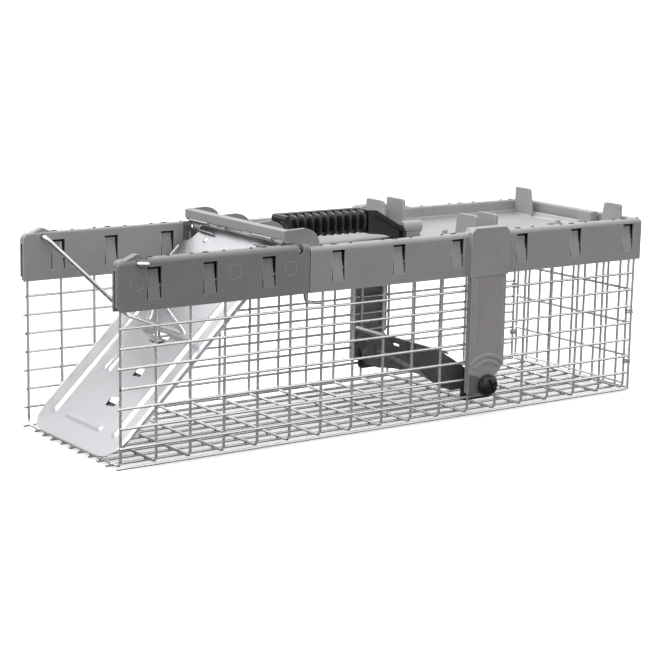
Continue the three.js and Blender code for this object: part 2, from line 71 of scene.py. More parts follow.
# ---- places: taken from the frame, then sizes the frame doesn't name -----------------------------
SIDES = ((-1, "near"), (1, "far"))
RAIL_X, RAIL_D, RAIL_ZS = span("front_rail_far")
RAIL_X0, RAIL_X1 = RAIL_X
RAIL_IN, RAIL_OUT = RAIL_D
RAIL_Z0 = RAIL_ZS[0]
RAIL_TOP = RAIL_Z0 + 32.5
COVER_X0, COVER_X1 = span("top_cover")[0]
COVER_TOP = RAIL_Z0 + 30.4
HINGE_X, HINGE_Z = pivot("door_swing")
BAIL_X, BAIL_Z = pivot("bail_lift")
AXLE_X, AXLE_Z = pivot("pan_tilt")
MESH_D0, MESH_D1 = span("far_side_mesh")[1]
MESH_TOP = span("far_side_mesh")[2][1]
GUARD_X0, GUARD_X1 = span("side_guard_far")[0]
KNOB_OUT = span("axle_knob_far")[1][1]
WALL_OUT = 1.4
WALL_IN = 1.8
WEB = 2.8
TRAY_Z = 120.8
GUARD_OUT = 71.5
GUARD_TOP = 101.1
GUARD_FOOT = 17.2
AXLE_BORE = 1.75
WIRE_R = 0.95
PITCH = 25.4
HALF_PITCH = PITCH / 2
WIRE_X0 = RAIL_X0 + 3.8
ROW_Z0 = 1.9
DOOR_T = 0.8
RIVET_Y, RIVET_S = 31, 167
DOOR_SLOPE = math.atan(0.97)
DOOR_FOOT = (WIRE_X0, 8.76)
COS, SIN = math.cos(DOOR_SLOPE), math.sin(DOOR_SLOPE)


# ---- materials ----------------------------------------------------------------------------
def node_tree(name):
    mat = bpy.data.materials.new(name)
    mat.use_nodes = True
    tree = mat.node_tree
    return mat, tree, tree.nodes["Principled BSDF"]


def add(tree, kind, **values):
    node = tree.nodes.new(kind)
    for key, value in values.items():
        if key in node.inputs:
            node.inputs[key].default_value = value
        else:
            setattr(node, key, value)
    return node


def noise(tree, coords, scale, detail=3.0, rough=0.55):
    node = add(tree, "ShaderNodeTexNoise", Scale=scale, Detail=detail, Roughness=rough)
    tree.links.new(coords, node.inputs["Vector"])
    return node.outputs["Fac"]


def noise_colour(tree, coords, scale):
    node = add(tree, "ShaderNodeTexNoise", Scale=scale, Detail=2.0)
    tree.links.new(coords, node.inputs["Vector"])
    return node.outputs["Color"]


def ramp(tree, fac, stops):
    node = tree.nodes.new("ShaderNodeValToRGB")
    tree.links.new(fac, node.inputs["Fac"])
    elements = node.color_ramp.elements
    while len(elements) < len(stops):
        elements.new(0.5)
    for element, (at, colour) in zip(elements, stops):
        element.position = at
        element.color = (*colour, 1.0)
    return node.outputs["Color"]


def mixed(tree, fac, a, b):
    node = tree.nodes.new("ShaderNodeMix")
    node.data_type = "RGBA"
    for socket, value in ((node.inputs[0], fac), (node.inputs[6], a), (node.inputs[7], b)):
        if isinstance(value, (int, float)):
            socket.default_value = value
        elif isinstance(value, tuple):
            socket.default_value = (*value, 1.0)
        else:
            tree.links.new(value, socket)
    return node.outputs[2]


def spread(tree, fac, low, high, at=(0.3, 0.7)):
    node = tree.nodes.new("ShaderNodeMapRange")
    tree.links.new(fac, node.inputs["Value"])
    node.inputs["From Min"].default_value, node.inputs["From Max"].default_value = at
    node.inputs["To Min"].default_value, node.inputs["To Max"].default_value = low, high
    return node.outputs["Result"]


def bumped(tree, bsdf, layers):
    """layers: (height, strength, distance in metres), one on top of the other."""
    below = None
    for height, strength, distance in layers:
        node = add(tree, "ShaderNodeBump", Strength=strength, Distance=distance)
        tree.links.new(height, node.inputs["Height"])
        if below is not None:
            tree.links.new(below, node.inputs["Normal"])
        below = node.outputs["Normal"]
    tree.links.new(below, bsdf.inputs["Normal"])


def tone(colour, k):
    return tuple(min(c * k, 1.0) for c in colour)


def plastic(name, colour, rough, specular=0.5):
    """Moulded plastic: fine spark-eroded grain, faint flow marks and edges lightened as a painted highlight,
    broken up by the flow noise.
    """
    mat, tree, bsdf = node_tree(name)
    coords = tree.nodes.new("ShaderNodeTexCoord").outputs["Object"]
    grain = noise(tree, coords, 1150.0, 3.0, 0.7)
    cloud = noise(tree, coords, 42.0, 4.0, 0.6)
    stretch = add(tree, "ShaderNodeMapping")
    stretch.inputs["Scale"].default_value = (0.5, 1.0, 1.2)
    tree.links.new(coords, stretch.inputs["Vector"])
    flow = noise(tree, stretch.outputs["Vector"], 130.0, 5.0, 0.7)
    warm = tuple(c * k for c, k in zip(colour, (1.05, 1.02, 0.96)))
    base = ramp(tree, cloud, [(0.32, tone(colour, 0.9)), (0.5, warm), (0.7, tone(colour, 1.08))])
    base = mixed(tree, 0.16, base, ramp(tree, flow, [(0.35, tone(colour, 0.9)), (0.68, tone(colour, 1.1))]))
    speckle = ramp(tree, grain, [(0.38, tone(colour, 0.76)), (0.64, tone(colour, 1.22))])
    base = mixed(tree, 0.36, base, speckle)
    # Painted highlight: a Bevel-node mask lightens every edge to 2.1 times the colour, broken up by the flow
    # noise.
    soft = add(tree, "ShaderNodeBevel", Radius=0.0008)
    soft.samples = 4
    across = tree.nodes.new("ShaderNodeVectorMath")
    across.operation = "DOT_PRODUCT"
    tree.links.new(soft.outputs["Normal"], across.inputs[0])
    tree.links.new(tree.nodes.new("ShaderNodeNewGeometry").outputs["Normal"], across.inputs[1])
    edge = spread(tree, across.outputs["Value"], 0.9, 0.0, (0.93, 0.998))
    edge_highlight = tree.nodes.new("ShaderNodeMath")
    edge_highlight.operation = "MULTIPLY"
    tree.links.new(edge, edge_highlight.inputs[0])
    tree.links.new(spread(tree, flow, 0.35, 1.0), edge_highlight.inputs[1])
    base = mixed(tree, edge_highlight.outputs[0], base, tone(colour, 2.1))
    tree.links.new(base, bsdf.inputs["Base Color"])
    tree.links.new(spread(tree, flow, rough - 0.03, rough + 0.05), bsdf.inputs["Roughness"])
    bsdf.inputs["Specular IOR Level"].default_value = specular
    bumped(tree, bsdf, [(cloud, 0.06, 0.002), (grain, 0.16, 0.0002)])
    return mat


def zinc(name, colour, rough, spangle, depth, grain_axis=(1, 1, 1), metallic=1.0):
    """Zinc on steel: a patchwork of crystals, each with its own tone and gloss, under fine scratches."""
    mat, tree, bsdf = node_tree(name)
    coords = tree.nodes.new("ShaderNodeTexCoord").outputs["Object"]
    warp = mixed(tree, 0.06, coords, noise_colour(tree, coords, 90.0))
    cells = add(tree, "ShaderNodeTexVoronoi", Scale=spangle, Randomness=1.0)
    tree.links.new(warp, cells.inputs["Vector"])
    value = tree.nodes.new("ShaderNodeSeparateColor")
    tree.links.new(cells.outputs["Color"], value.inputs[0])
    dull, bright = tone(colour, 1 - depth), tone(colour, 1.06)
    crystal = ramp(tree, value.outputs[0], [(0.1, dull), (0.9, tone(colour, 1 + depth * 0.45))])
    cloud = noise(tree, coords, 60.0, 4.0)
    base = mixed(tree, 0.4, crystal, ramp(tree, cloud, [(0.3, dull), (0.7, bright)]))
    stretch = add(tree, "ShaderNodeMapping")
    stretch.inputs["Scale"].default_value = grain_axis
    tree.links.new(coords, stretch.inputs["Vector"])
    scratch = noise(tree, stretch.outputs["Vector"], 900.0, 3.0, 0.7)
    base = mixed(tree, 0.2, base, ramp(tree, scratch, [(0.42, tone(colour, 1 - 1.5 * depth)), (0.6, bright)]))
    tree.links.new(base, bsdf.inputs["Base Color"])
    gloss = tree.nodes.new("ShaderNodeMath")
    gloss.operation = "ADD"
    tree.links.new(spread(tree, value.outputs[1], -0.4 * depth, 0.5 * depth, (0, 1)), gloss.inputs[0])
    tree.links.new(spread(tree, scratch, rough - 0.02, rough + 0.04), gloss.inputs[1])
    tree.links.new(gloss.outputs[0], bsdf.inputs["Roughness"])
    bsdf.inputs["Metallic"].default_value = metallic
    bumped(tree, bsdf, [(cells.outputs["Distance"], 0.02, 0.0005), (scratch, 0.05, 0.0002)])
    return mat


def coated(name, colour, rough):
    """Dark coating on sheet: orange peel, and pale flecks where it has rubbed."""
    mat, tree, bsdf = node_tree(name)
    coords = tree.nodes.new("ShaderNodeTexCoord").outputs["Object"]
    peel = noise(tree, coords, 700.0, 2.0)
    cloud = noise(tree, coords, 55.0, 5.0, 0.65)
    base = ramp(tree, cloud, [(0.3, tone(colour, 0.75)), (0.72, tone(colour, 1.5))])
    fleck = noise(tree, coords, 520.0, 6.0, 0.75)
    base = mixed(tree, spread(tree, fleck, 0.0, 0.5, (0.66, 0.74)), base, (0.32, 0.33, 0.33))
    tree.links.new(base, bsdf.inputs["Base Color"])
    tree.links.new(spread(tree, cloud, rough - 0.08, rough + 0.12), bsdf.inputs["Roughness"])
    bumped(tree, bsdf, [(peel, 0.12, 0.0003)])
    return mat


# One material per kind of surface. The near front rail and the guards' feet are probably of the same plastic
# as the rest;
# their darker greys are painted shade. The lever is probably of the same plastic too and has its own grey
# only to come nearer to the photograph.
LOOKS = {
    "rail_plastic": plastic("grey_moulding", (0.345, 0.351, 0.356), 0.44),
    "near_rail_painted_shade": plastic("painted_shade_rail_moulding", (0.234, 0.242, 0.250), 0.44),
    "guard_plastic": plastic("warm_grey_moulding", (0.358, 0.345, 0.350), 0.40),
    "grip_plastic": plastic("black_grip_moulding", (0.013, 0.012, 0.0122), 0.27, 0.6),
    "knob_plastic": plastic("black_knob_moulding", (0.014, 0.014, 0.015), 0.30, 0.6),
    "mesh_wire": zinc("galvanised_mesh_wire", (0.97, 0.97, 0.96), 0.22, 420.0, 0.10, metallic=0.8),
    "bright_wire": zinc("zinc_plated_wire", (0.92, 0.93, 0.94), 0.22, 500.0, 0.10),
    "clip_steel": zinc("zinc_plated_strip", (0.50, 0.50, 0.50), 0.30, 380.0, 0.14),
    "spring_wire": zinc("spring_wire", (0.52, 0.53, 0.54), 0.28, 500.0, 0.12),
    "door_sheet": zinc("galvanised_door_sheet", (0.55, 0.55, 0.57), 0.30, 330.0, 0.03, (0.3, 1, 1)),
    "guard_foot_painted_shade": plastic("painted_shade_guard_moulding", (0.150, 0.148, 0.150), 0.44),
    # Near-black weld beads: painted shade where the wires cross.
    "weld": zinc("weld_bead_painted_shade", (0.13, 0.13, 0.13), 0.5, 600.0, 0.25, metallic=0.5),
    # The door's flanges: the door sheet made near-white and hardly metallic, a painted highlight along its
    # edges.
    "door_edge": zinc("door_flange_painted_highlight", (0.84, 0.84, 0.86), 0.36, 330.0, 0.03, metallic=0.05),
    "lever_plastic": plastic("lever_moulding", (0.312, 0.317, 0.322), 0.44),
    "pan_gloss": coated("coated_pan_sheet", (0.135, 0.146, 0.143), 0.30),
    "pan_coat": coated("dark_coated_sheet", (0.036, 0.041, 0.040), 0.34),
}


# ---- shapes: each is (vertices, faces), in millimetres -----------------------------------------
def arc(cx, cy, r, a0, a1, count):
    out = []
    for i in range(count + 1):
        a = math.radians(a0 + (a1 - a0) * i / count)
        out.append((cx + r * math.cos(a), cy + r * math.sin(a)))
    return out


def circle(cx, cy, r, count):
    turns = (2 * math.pi * k / count for k in range(count))
    return [(cx + r * math.cos(a), cy + r * math.sin(a)) for a in turns]


def rect(a0, a1, b0, b1):
    return [(a0, b0), (a1, b0), (a1, b1), (a0, b1)]


def rounded(points, radius, count=4):
    """The outline with every corner rounded off; radius is one number or one per corner."""
    out = []
    n = len(points)
    for i, p in enumerate(points):
        r = radius if isinstance(radius, (int, float)) else radius[i]
        if r <= 0:
            out.append(tuple(p))
            continue
        c = Vector(p)
        a, b = Vector(points[i - 1]) - c, Vector(points[(i + 1) % n]) - c
        half = a.angle(b) / 2
        reach = min(r / math.tan(half), a.length * 0.48, b.length * 0.48)
        p0, p1 = c + a.normalized() * reach, c + b.normalized() * reach
        for k in range(count + 1):
            t = k / count
            q = p0 * (1 - t) ** 2 + c * 2 * t * (1 - t) + p1 * t ** 2
            out.append((q.x, q.y))
    return out


AXES = {
    "x": lambda a, b, t: (t, a, b),
    "y": lambda a, b, t: (a, t, b),
    "z": lambda a, b, t: (a, b, t),
}


def prism(outline, axis, lo, hi):
    place = AXES[axis]
    n = len(outline)
    verts = [place(a, b, lo) for a, b in outline] + [place(a, b, hi) for a, b in outline]
    faces = [tuple(range(n)), tuple(range(2 * n - 1, n - 1, -1))]
    faces += [(i, (i + 1) % n, n + (i + 1) % n, n + i) for i in range(n)]
    return verts, faces


def loft(rings, cap=True):
    n = len(rings[0])
    verts = [p for ring in rings for p in ring]
    faces = []
    for k in range(len(rings) - 1):
        for i in range(n):
            j = (i + 1) % n
            faces.append((k * n + i, k * n + j, (k + 1) * n + j, (k + 1) * n + i))
    if cap:
        faces.append(tuple(range(n - 1, -1, -1)))
        faces.append(tuple(range((len(rings) - 1) * n, len(rings) * n)))
    return verts, faces


def block(x0, x1, y0, y1, z0, z1):
    return prism(rect(x0, x1, z0, z1), "y", y0, y1)


def mirrored(side, shape):
    verts, faces = shape
    return [(x, side * y, z) for x, y, z in verts], faces


def side_prism(side, outline, d0, d1):
    """A plate on one side of the trap, between two distances from its centre plane."""
    return mirrored(side, prism(outline, "y", d0, d1))


def joined(*shapes):
    verts, faces = [], []
    for vs, fs in shapes:
        base = len(verts)
        verts += vs
        faces += [tuple(i + base for i in f) for f in fs]
    return verts, faces


def tube(path, radius, sides=10):
    """A round bar swept along a path, its ends eased off."""
    pts = [Vector(p) for p in path]
    tangents = []
    for i in range(len(pts)):
        tangents.append((pts[min(i + 1, len(pts) - 1)] - pts[max(i - 1, 0)]).normalized())
    normal = tangents[0].orthogonal().normalized()
    rings = []
    for p, t in zip(pts, tangents):
        normal = (normal - t * normal.dot(t)).normalized()
        across = t.cross(normal)
        rings.append([tuple(p + normal * u + across * w) for u, w in circle(0, 0, radius, sides)])
    ease, narrow = radius * 0.3, 0.72
    first, last = rings[0], rings[-1]
    rings[0] = [tuple(Vector(q) + tangents[0] * ease) for q in first]
    rings[-1] = [tuple(Vector(q) - tangents[-1] * ease) for q in last]
    rings.insert(0, [tuple(pts[0].lerp(Vector(q), narrow)) for q in first])
    rings.append([tuple(pts[-1].lerp(Vector(q), narrow)) for q in last])
    return loft(rings)


def lathe(profile, axis_at, y0, side, sides):
    """Round body about an axle along Y; profile is (radius, height outwards from y0)."""
    return loft([[(x, side * (y0 + h), z) for x, z in circle(*axis_at, r, sides)] for r, h in profile])


def turned(x, y, z, profile, sides):
    """Round body about an upright axis; profile is (radius, height above z)."""
    return loft([[(*at, z + h) for at in circle(x, y, r, sides)] for r, h in profile])


def bent(corners, reach, count=6):
    """A path through the corners, each turned into a curve that starts at reach from it."""
    out = [Vector(corners[0])]
    for i in range(1, len(corners) - 1):
        c = Vector(corners[i])
        a = c + (Vector(corners[i - 1]) - c).normalized() * reach
        b = c + (Vector(corners[i + 1]) - c).normalized() * reach
        for k in range(count + 1):
            t = k / count
            out.append(a * (1 - t) ** 2 + c * 2 * t * (1 - t) + b * t ** 2)
    out.append(Vector(corners[-1]))
    return out


def on_door(y, s, n):
    """y across, s up the slope from the foot, n out of the outer face."""
    return DOOR_FOOT[0] + s * COS - n * SIN, y, DOOR_FOOT[1] + s * SIN + n * COS


def door_prism(outline, n0, n1):
    """A prism square to the door; its outline is (y, s)."""
    verts, faces = prism(outline, "z", n0, n1)
    return [on_door(*at) for at in verts], faces


# ---- pieces -------------------------------------------------------------------------------
def mesh_of(name, shape):
    verts, faces = shape
    mesh = bpy.data.meshes.new(name)
    mesh.from_pydata([(x * MM, y * MM, z * MM) for x, y, z in verts], [], faces)
    work = bmesh.new()
    work.from_mesh(mesh)
    bmesh.ops.recalc_face_normals(work, faces=work.faces)
    work.to_mesh(mesh)
    work.free()
    return mesh


def new_object(name, shape):
    piece = bpy.data.objects.new(name, mesh_of(name, shape))
    scene.collection.objects.link(piece)
    return piece


def baked(piece):
    """Applies the piece's modifiers to its mesh."""
    graph = bpy.context.evaluated_depsgraph_get()
    mesh = bpy.data.meshes.new_from_object(piece.evaluated_get(graph))
    piece.modifiers.clear()
    piece.data = mesh


def carved(piece, *cutters, operation="DIFFERENCE"):
    tool = new_object("tool", joined(*cutters))
    mod = piece.modifiers.new("carve", "BOOLEAN")
    mod.operation = operation
    mod.solver = "EXACT"
    mod.use_self = True
    mod.object = tool
    baked(piece)
    bpy.data.objects.remove(tool)
    return piece


def eased(piece, width, segments=2, angle=32):
    mod = piece.modifiers.new("eased_edges", "BEVEL")
    mod.width = width * MM
    mod.segments = segments
    mod.limit_method = "ANGLE"
    mod.angle_limit = math.radians(angle)
    return piece


FLAT_WIDTH = 0.005  # metres: a face wider than this is a flat one, and is shaded flat


def edge_length(mesh, face):
    """Length of a face's boundary, in metres."""
    loop = [mesh.vertices[i].co for i in face.vertices]
    return sum((a - b).length for a, b in zip(loop, loop[1:] + loop[:1]))


def done(piece, body, slot, nodes, flat_angle=38, look=None):
    """Smooth shading, material, body and the CAD nodes the piece stands for."""
    baked(piece)
    mesh = piece.data
    mesh.materials.clear()
    mesh.materials.append(LOOKS[look or slot])
    for face in mesh.polygons:
        face.use_smooth = True
    mesh.set_sharp_from_angle(angle=math.radians(flat_angle))
    for face in mesh.polygons:
        if face.area > FLAT_WIDTH * edge_length(mesh, face) / 2:
            face.use_smooth = False
    even = piece.modifiers.new("even_normals", "WEIGHTED_NORMAL")
    even.keep_sharp = True
    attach(piece, body)
    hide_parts(*nodes)


def piece(name, body, slot, nodes, shape, bevel=0.0, segments=2, cuts=(), flat_angle=38, look=None):
    made = new_object(name, shape)
    if cuts:
        carved(made, *cuts)
    if bevel:
        eased(made, bevel, segments)
    done(made, body, slot, nodes, flat_angle, look)


# ---- welded wire mesh ---------------------------------------------------------------------------
LONG_D = 65.35      # long wires, outside the cross wires
CROSS_D = 63.75
CROSS_LOW = 2.75
BEND = 4.5
CROSS_WIRES = 18
LONG_ROWS = 9
SIDE_END, EDGE_END, FLOOR_END = 216.6, 217.0, 217.2
REAR_X = 218.0      # the rear panel's level wires
REAR_UPRIGHT_X = 216.4
REAR_CORNER = (218.8, 64.5)
REAR_SHIFT = -2.5   # the rear panel's squares aren't in line with the floor's
MESH_NODES = ("near_side_mesh", "far_side_mesh", "floor_mesh")


def wavy(a, b, seed, sway=0.13):
    """A nearly straight wire from a to b with the slight set real mesh has."""
    a, b = Vector(a), Vector(b)
    count = max(int((b - a).length / HALF_PITCH), 2)
    side = (b - a).cross(Vector((0.3, 0.5, 0.8))).normalized()
    out = []
    for i in range(count + 1):
        t = i / count
        push = math.sin(t * 9.4 + seed * 2.4) * 0.6 + math.sin(t * 23.0 + seed * 5.1) * 0.4
        out.append(a.lerp(b, t) + side * push * sway * math.sin(math.pi * t))
    return out


def cross_wire(k):
    """One wire bent to a U: down the near side, across under the floor, up the far side."""
    x = WIRE_X0 + PITCH * k
    top, middle = MESH_TOP - 0.4, 60.0
    corners = [(x, -CROSS_D, top), (x, -CROSS_D, middle), (x, -CROSS_D, CROSS_LOW), (x, 0, CROSS_LOW),
               (x, CROSS_D, CROSS_LOW), (x, CROSS_D, middle), (x, CROSS_D, top)]
    path = [p + Vector((0.25 * math.sin(k * 1.7 + p.z * 0.02), 0, 0)) for p in bent(corners, BEND)]
    return tube(path, WIRE_R)


def nugget(x, y, z, radii):
    """Squashed bead where two wires are welded, drawn near-black as painted shade at the crossing."""
    rings = []
    for lat in (-80, -40, 0, 40, 80):
        c, s = math.cos(math.radians(lat)), math.sin(math.radians(lat))
        rings.append([(x + radii[0] * c * math.cos(a), y + radii[1] * c * math.sin(a), z + radii[2] * s)
                      for a in (math.pi * k / 4 for k in range(8))])
    return loft(rings)


def level_wire(x0, x1, y, z, seed, sway=0.13):
    return tube(wavy((x0, y, z), (x1, y, z), seed, sway), WIRE_R)


def long_wires():
    """Wires along the trap: rows up each side, one at each lower edge, and those of the floor."""
    runs = []
    for side, _ in SIDES:
        for j in range(1, LONG_ROWS + 1):
            seed = j + side
            stick_out = 2.6 * (0.55 + 0.45 * math.sin(seed * 3.7))
            z = ROW_Z0 + HALF_PITCH * j
            runs.append(level_wire(WIRE_X0 - stick_out, SIDE_END, side * LONG_D, z, seed))
        runs.append(level_wire(RAIL_X0 + 0.3, EDGE_END, side * (LONG_D - 0.5), 1.75, side * 3.3))
    for i in range(-4, 5):
        stick_in = 0.2 + (1 + math.sin(i * 2.1)) * 0.7
        runs.append(level_wire(RAIL_X0 + stick_in, FLOOR_END, HALF_PITCH * i, 1.1, i * 1.3, 0.1))
    return runs


def weld_beads():
    welds = []
    for k in range(CROSS_WIRES):
        x = WIRE_X0 + PITCH * k
        for j in range(1, LONG_ROWS - 1):
            for side, _ in SIDES:
                at = (x, side * (CROSS_D + LONG_D) / 2, ROW_Z0 + HALF_PITCH * j)
                welds.append(nugget(*at, (1.25, 0.75, 1.25)))
        welds += [nugget(x, HALF_PITCH * i, ROW_Z0, (1.25, 1.25, 0.75)) for i in range(-4, 5)]
    return welds


def rear_wires():
    """Uprights and level wires of the rear panel, and two thinner wires along its foot."""
    wires = []
    for i in range(-5, 6):
        x, y = REAR_UPRIGHT_X, HALF_PITCH * i + REAR_SHIFT
        if abs(i) == 5:
            x, y = REAR_CORNER[0], math.copysign(REAR_CORNER[1], i)
        wires.append(tube(wavy((x, y, 1.2), (x, y, RAIL_Z0 + 2.5), i * 0.9, 0.12), WIRE_R))
    for k in range(5):
        z = ROW_Z0 + PITCH * k + (0.9 if k == 0 else 0)
        wires.append(tube(wavy((REAR_X, -64.3, z), (REAR_X, 64.3, z), k * 1.9, 0.15), WIRE_R))
    for z in (3.6, 6.4):
        wires.append(tube(wavy((214.9, -61.5, z), (214.9, 61.5, z), z, 0.4), WIRE_R * 0.8))
    return wires


def build_mesh():
    cross = [cross_wire(k) for k in range(CROSS_WIRES)]
    piece("cage_cross_wires", "base", "mesh_wire", MESH_NODES, joined(*cross))
    piece("cage_long_wires", "base", "mesh_wire", MESH_NODES, joined(*long_wires()))
    # The weld beads are drawn near-black: painted shade at the crossings.
    piece("cage_welds", "base", "mesh_wire", MESH_NODES, joined(*weld_beads()), look="weld")
    piece("rear_wires", "base", "mesh_wire", ("rear_mesh",), joined(*rear_wires()))


def build_clips():
    """Two turns of wire closed round the corner wires where the rear panel meets each side."""
    loop = rounded(rect(213.2, 219.3, 63.1, 66.7), 1.7, 6)
    for side, word in SIDES:
        for level in ("low", "high"):
            node = f"corner_clip_{word}_{level}"
            z0, z1 = span(node)[2]
            turns = []
            for z in ((z0 + z1) / 2 - 0.9, (z0 + z1) / 2 + 0.9):
                path = [(x, side * d, z + 0.7 * k / len(loop)) for k, (x, d) in enumerate(loop)]
                turns.append(tube(path, 0.55, 8))
            piece(f"clip_{word}_{level}", "base", "clip_steel", (node,), joined(*turns))


# ---- rails and cover --------------------------------------------------------------------------
def rail_section(top, out):
    """Inverted channel as (distance from the centre plane, height)."""
    r = 3.4
    return [
        *arc(out - r, top - r, r, 0, 90, 7),
        *arc(RAIL_IN + 1.4, top - 1.4, 1.4, 90, 180, 4),
        (RAIL_IN, RAIL_Z0), (RAIL_IN + WALL_IN, RAIL_Z0), (RAIL_IN + WALL_IN, top - WEB),
        (out - WALL_OUT, top - WEB), (out - WALL_OUT, RAIL_Z0), (out, RAIL_Z0),
    ]


SNAP_HALF = 5.25
SNAP_Z0, SNAP_Z1 = 108.3, 128.6
CHANNEL_SHADE_D = (64.0, 64.7)
SNAP_FRONT = (-195.5, -154.8, -110.4)
SNAP_COVER = (-55.5, -5.0, 45.8, 104.8, 156.1, 208.2)


def snap_window(side, x, both=True):
    """Opening for a snap tongue, through both walls of a rail or the outer one alone."""
    outline = [(x - SNAP_HALF, SNAP_Z0), (x + SNAP_HALF, SNAP_Z0), (x + SNAP_HALF + 0.1, SNAP_Z1),
               (x - SNAP_HALF - 0.1, SNAP_Z1)]
    return side_prism(side, outline, RAIL_IN - 2 if both else RAIL_OUT - 2, RAIL_OUT + 2)


def tongue(side, x, wall, inward):
    """Strip left standing in a window, pressed into the channel and curled at its top."""
    rings = []
    half_low, half_high = SNAP_HALF - 1.0, SNAP_HALF - 1.25
    steps = 9
    for i in range(steps + 1):
        t = i / steps
        z = SNAP_Z0 - 1.2 + (SNAP_Z1 - 2.0 - SNAP_Z0 + 1.2) * t
        lean = 3.3 * max(t - 0.06, 0) ** 1.2 - 0.6 * max(t - 0.86, 0) / 0.14
        half = half_low + (half_high - half_low) * t
        face = wall + inward * lean
        back = face + inward * 1.2
        rings.append([(x - half, side * face, z), (x + half, side * face, z),
                      (x + half, side * back, z), (x - half, side * back, z)])
    return loft(rings)


def tongues(side, x, both=True):
    outer = tongue(side, x, RAIL_OUT, -1)
    return [outer, tongue(side, x, RAIL_IN, 1)] if both else [outer]


def channel_shade_strip(side, x, half=9.0):
    """Dark strip inside the channel, behind one window or joint: painted shade in the channel."""
    outline = rounded(rect(x - half, x + half, RAIL_Z0 + 1.5, RAIL_Z0 + 28.4), 1.2)
    return side_prism(side, outline, *CHANNEL_SHADE_D)


def mould_ring(side, x, z):
    """Faint raised ring that an ejector leaves on the outer wall."""
    r = 4.6
    profile = [(r + dr, h) for dr, h in
               ((-0.35, -0.3), (-0.3, 0.08), (-0.1, 0.17), (0.1, 0.17), (0.3, 0.08), (0.35, -0.3))]
    rings = []
    for k in range(37):
        a = 2 * math.pi * k / 36
        rings.append([(x + q * math.cos(a), side * (RAIL_OUT + h), z + q * math.sin(a)) for q, h in profile])
    return loft(rings, cap=False)


def crest_slot_shades(side, xs, top):
    """Short dark bars on the crest of a rail, three beside each window. They stand for slots, and their dark
    colour is painted shade in the slots.
    """
    nibs = []
    for x in xs:
        for dx, half in ((-11.6, 1.3), (-1.5, 2.7), (12.2, 1.2)):
            section = ((64.9, 0.1), (64.5, 1.1), (63.6, 1.15), (63.2, 0.1))
            nibs.append(loft([[(x + dx + t * half, side * d, top - 0.4 + h * (1 - 0.5 * t * t))
                               for d, h in section] for t in (-1, -0.7, 0, 0.7, 1)]))
    return nibs


def ear_pocket(side):
    """Room in the inner wall for the lever's ear."""
    return side_prism(side, rect(-98, -66, 116, RAIL_TOP + 3), RAIL_IN - 3, MESH_D0 - 0.2)


def bar_through(x, z, r, side, d0, d1):
    """Cutter for a bore along Y."""
    return mirrored(side, lathe([(r, 0), (r, d1 - d0)], (x, z), d0, 1, 24))


def rail_shell(side, word):
    """The front rail's channel, its door end rounded over."""
    rings = []
    reach = 4.0
    for dx in (0.0, 0.25, 0.8, 1.7, 2.8, reach):
        fall = reach - math.sqrt(reach ** 2 - (reach - dx) ** 2)
        section = rail_section(RAIL_TOP - fall, RAIL_OUT - 0.45 * fall)
        rings.append([(RAIL_X0 + dx, side * d, z) for d, z in section])
    rings.append([(RAIL_X1, side * d, z) for d, z in rail_section(RAIL_TOP, RAIL_OUT)])
    return new_object(f"front_rail_{word}_moulding", loft(rings))


def rail_additions(side):
    """Boss over the bail's pivot, the block under it and the web that closes the door end."""
    boss = [(BAIL_X - 9.0, RAIL_TOP - 1.0), (BAIL_X - 5.6, RAIL_TOP + 0.9),
            *arc(BAIL_X, RAIL_TOP - 2.4, 5.2, 132, 48, 8), (BAIL_X + 5.6, RAIL_TOP + 0.9),
            (BAIL_X + 9.0, RAIL_TOP - 1.0)]
    foot = RAIL_TOP - WEB - 4.6
    under = [(BAIL_X - 6, foot), (BAIL_X + 6, foot), (BAIL_X + 7, RAIL_TOP - 1.5),
             (BAIL_X - 7, RAIL_TOP - 1.5)]
    web = rect(RAIL_X0 + 3.2, RAIL_X0 + 4.4, 106.5, RAIL_TOP - 1.5)
    return [
        side_prism(side, boss, RAIL_IN + 0.9, RAIL_OUT - 0.9),
        side_prism(side, under, RAIL_OUT - WALL_OUT - 1.6, RAIL_OUT - 0.3),
        side_prism(side, web, RAIL_IN + 1.0, RAIL_OUT - 1.0),
    ]


def rail_cuts(side):
    """Windows, ear pocket, pivot bores, the slot over the hinge rod and a notch at the door end."""
    slot = [(HINGE_X - 1.9, HINGE_Z), (HINGE_X + 1.9, HINGE_Z), (HINGE_X + 2.3, RAIL_TOP + 2),
            (HINGE_X - 2.3, RAIL_TOP + 2)]
    return [
        *(snap_window(side, x) for x in SNAP_FRONT),
        ear_pocket(side),
        bar_through(BAIL_X, BAIL_Z, 2.1, side, 55, 80),
        bar_through(HINGE_X, HINGE_Z, 1.9, side, 55, 80),
        side_prism(side, slot, RAIL_OUT - WALL_OUT - 2.2, RAIL_OUT + 1),
        side_prism(side, rect(RAIL_X0 - 1, RAIL_X0 + 1.7, 100, 104.4), RAIL_OUT - 6.0, RAIL_OUT + 1),
    ]


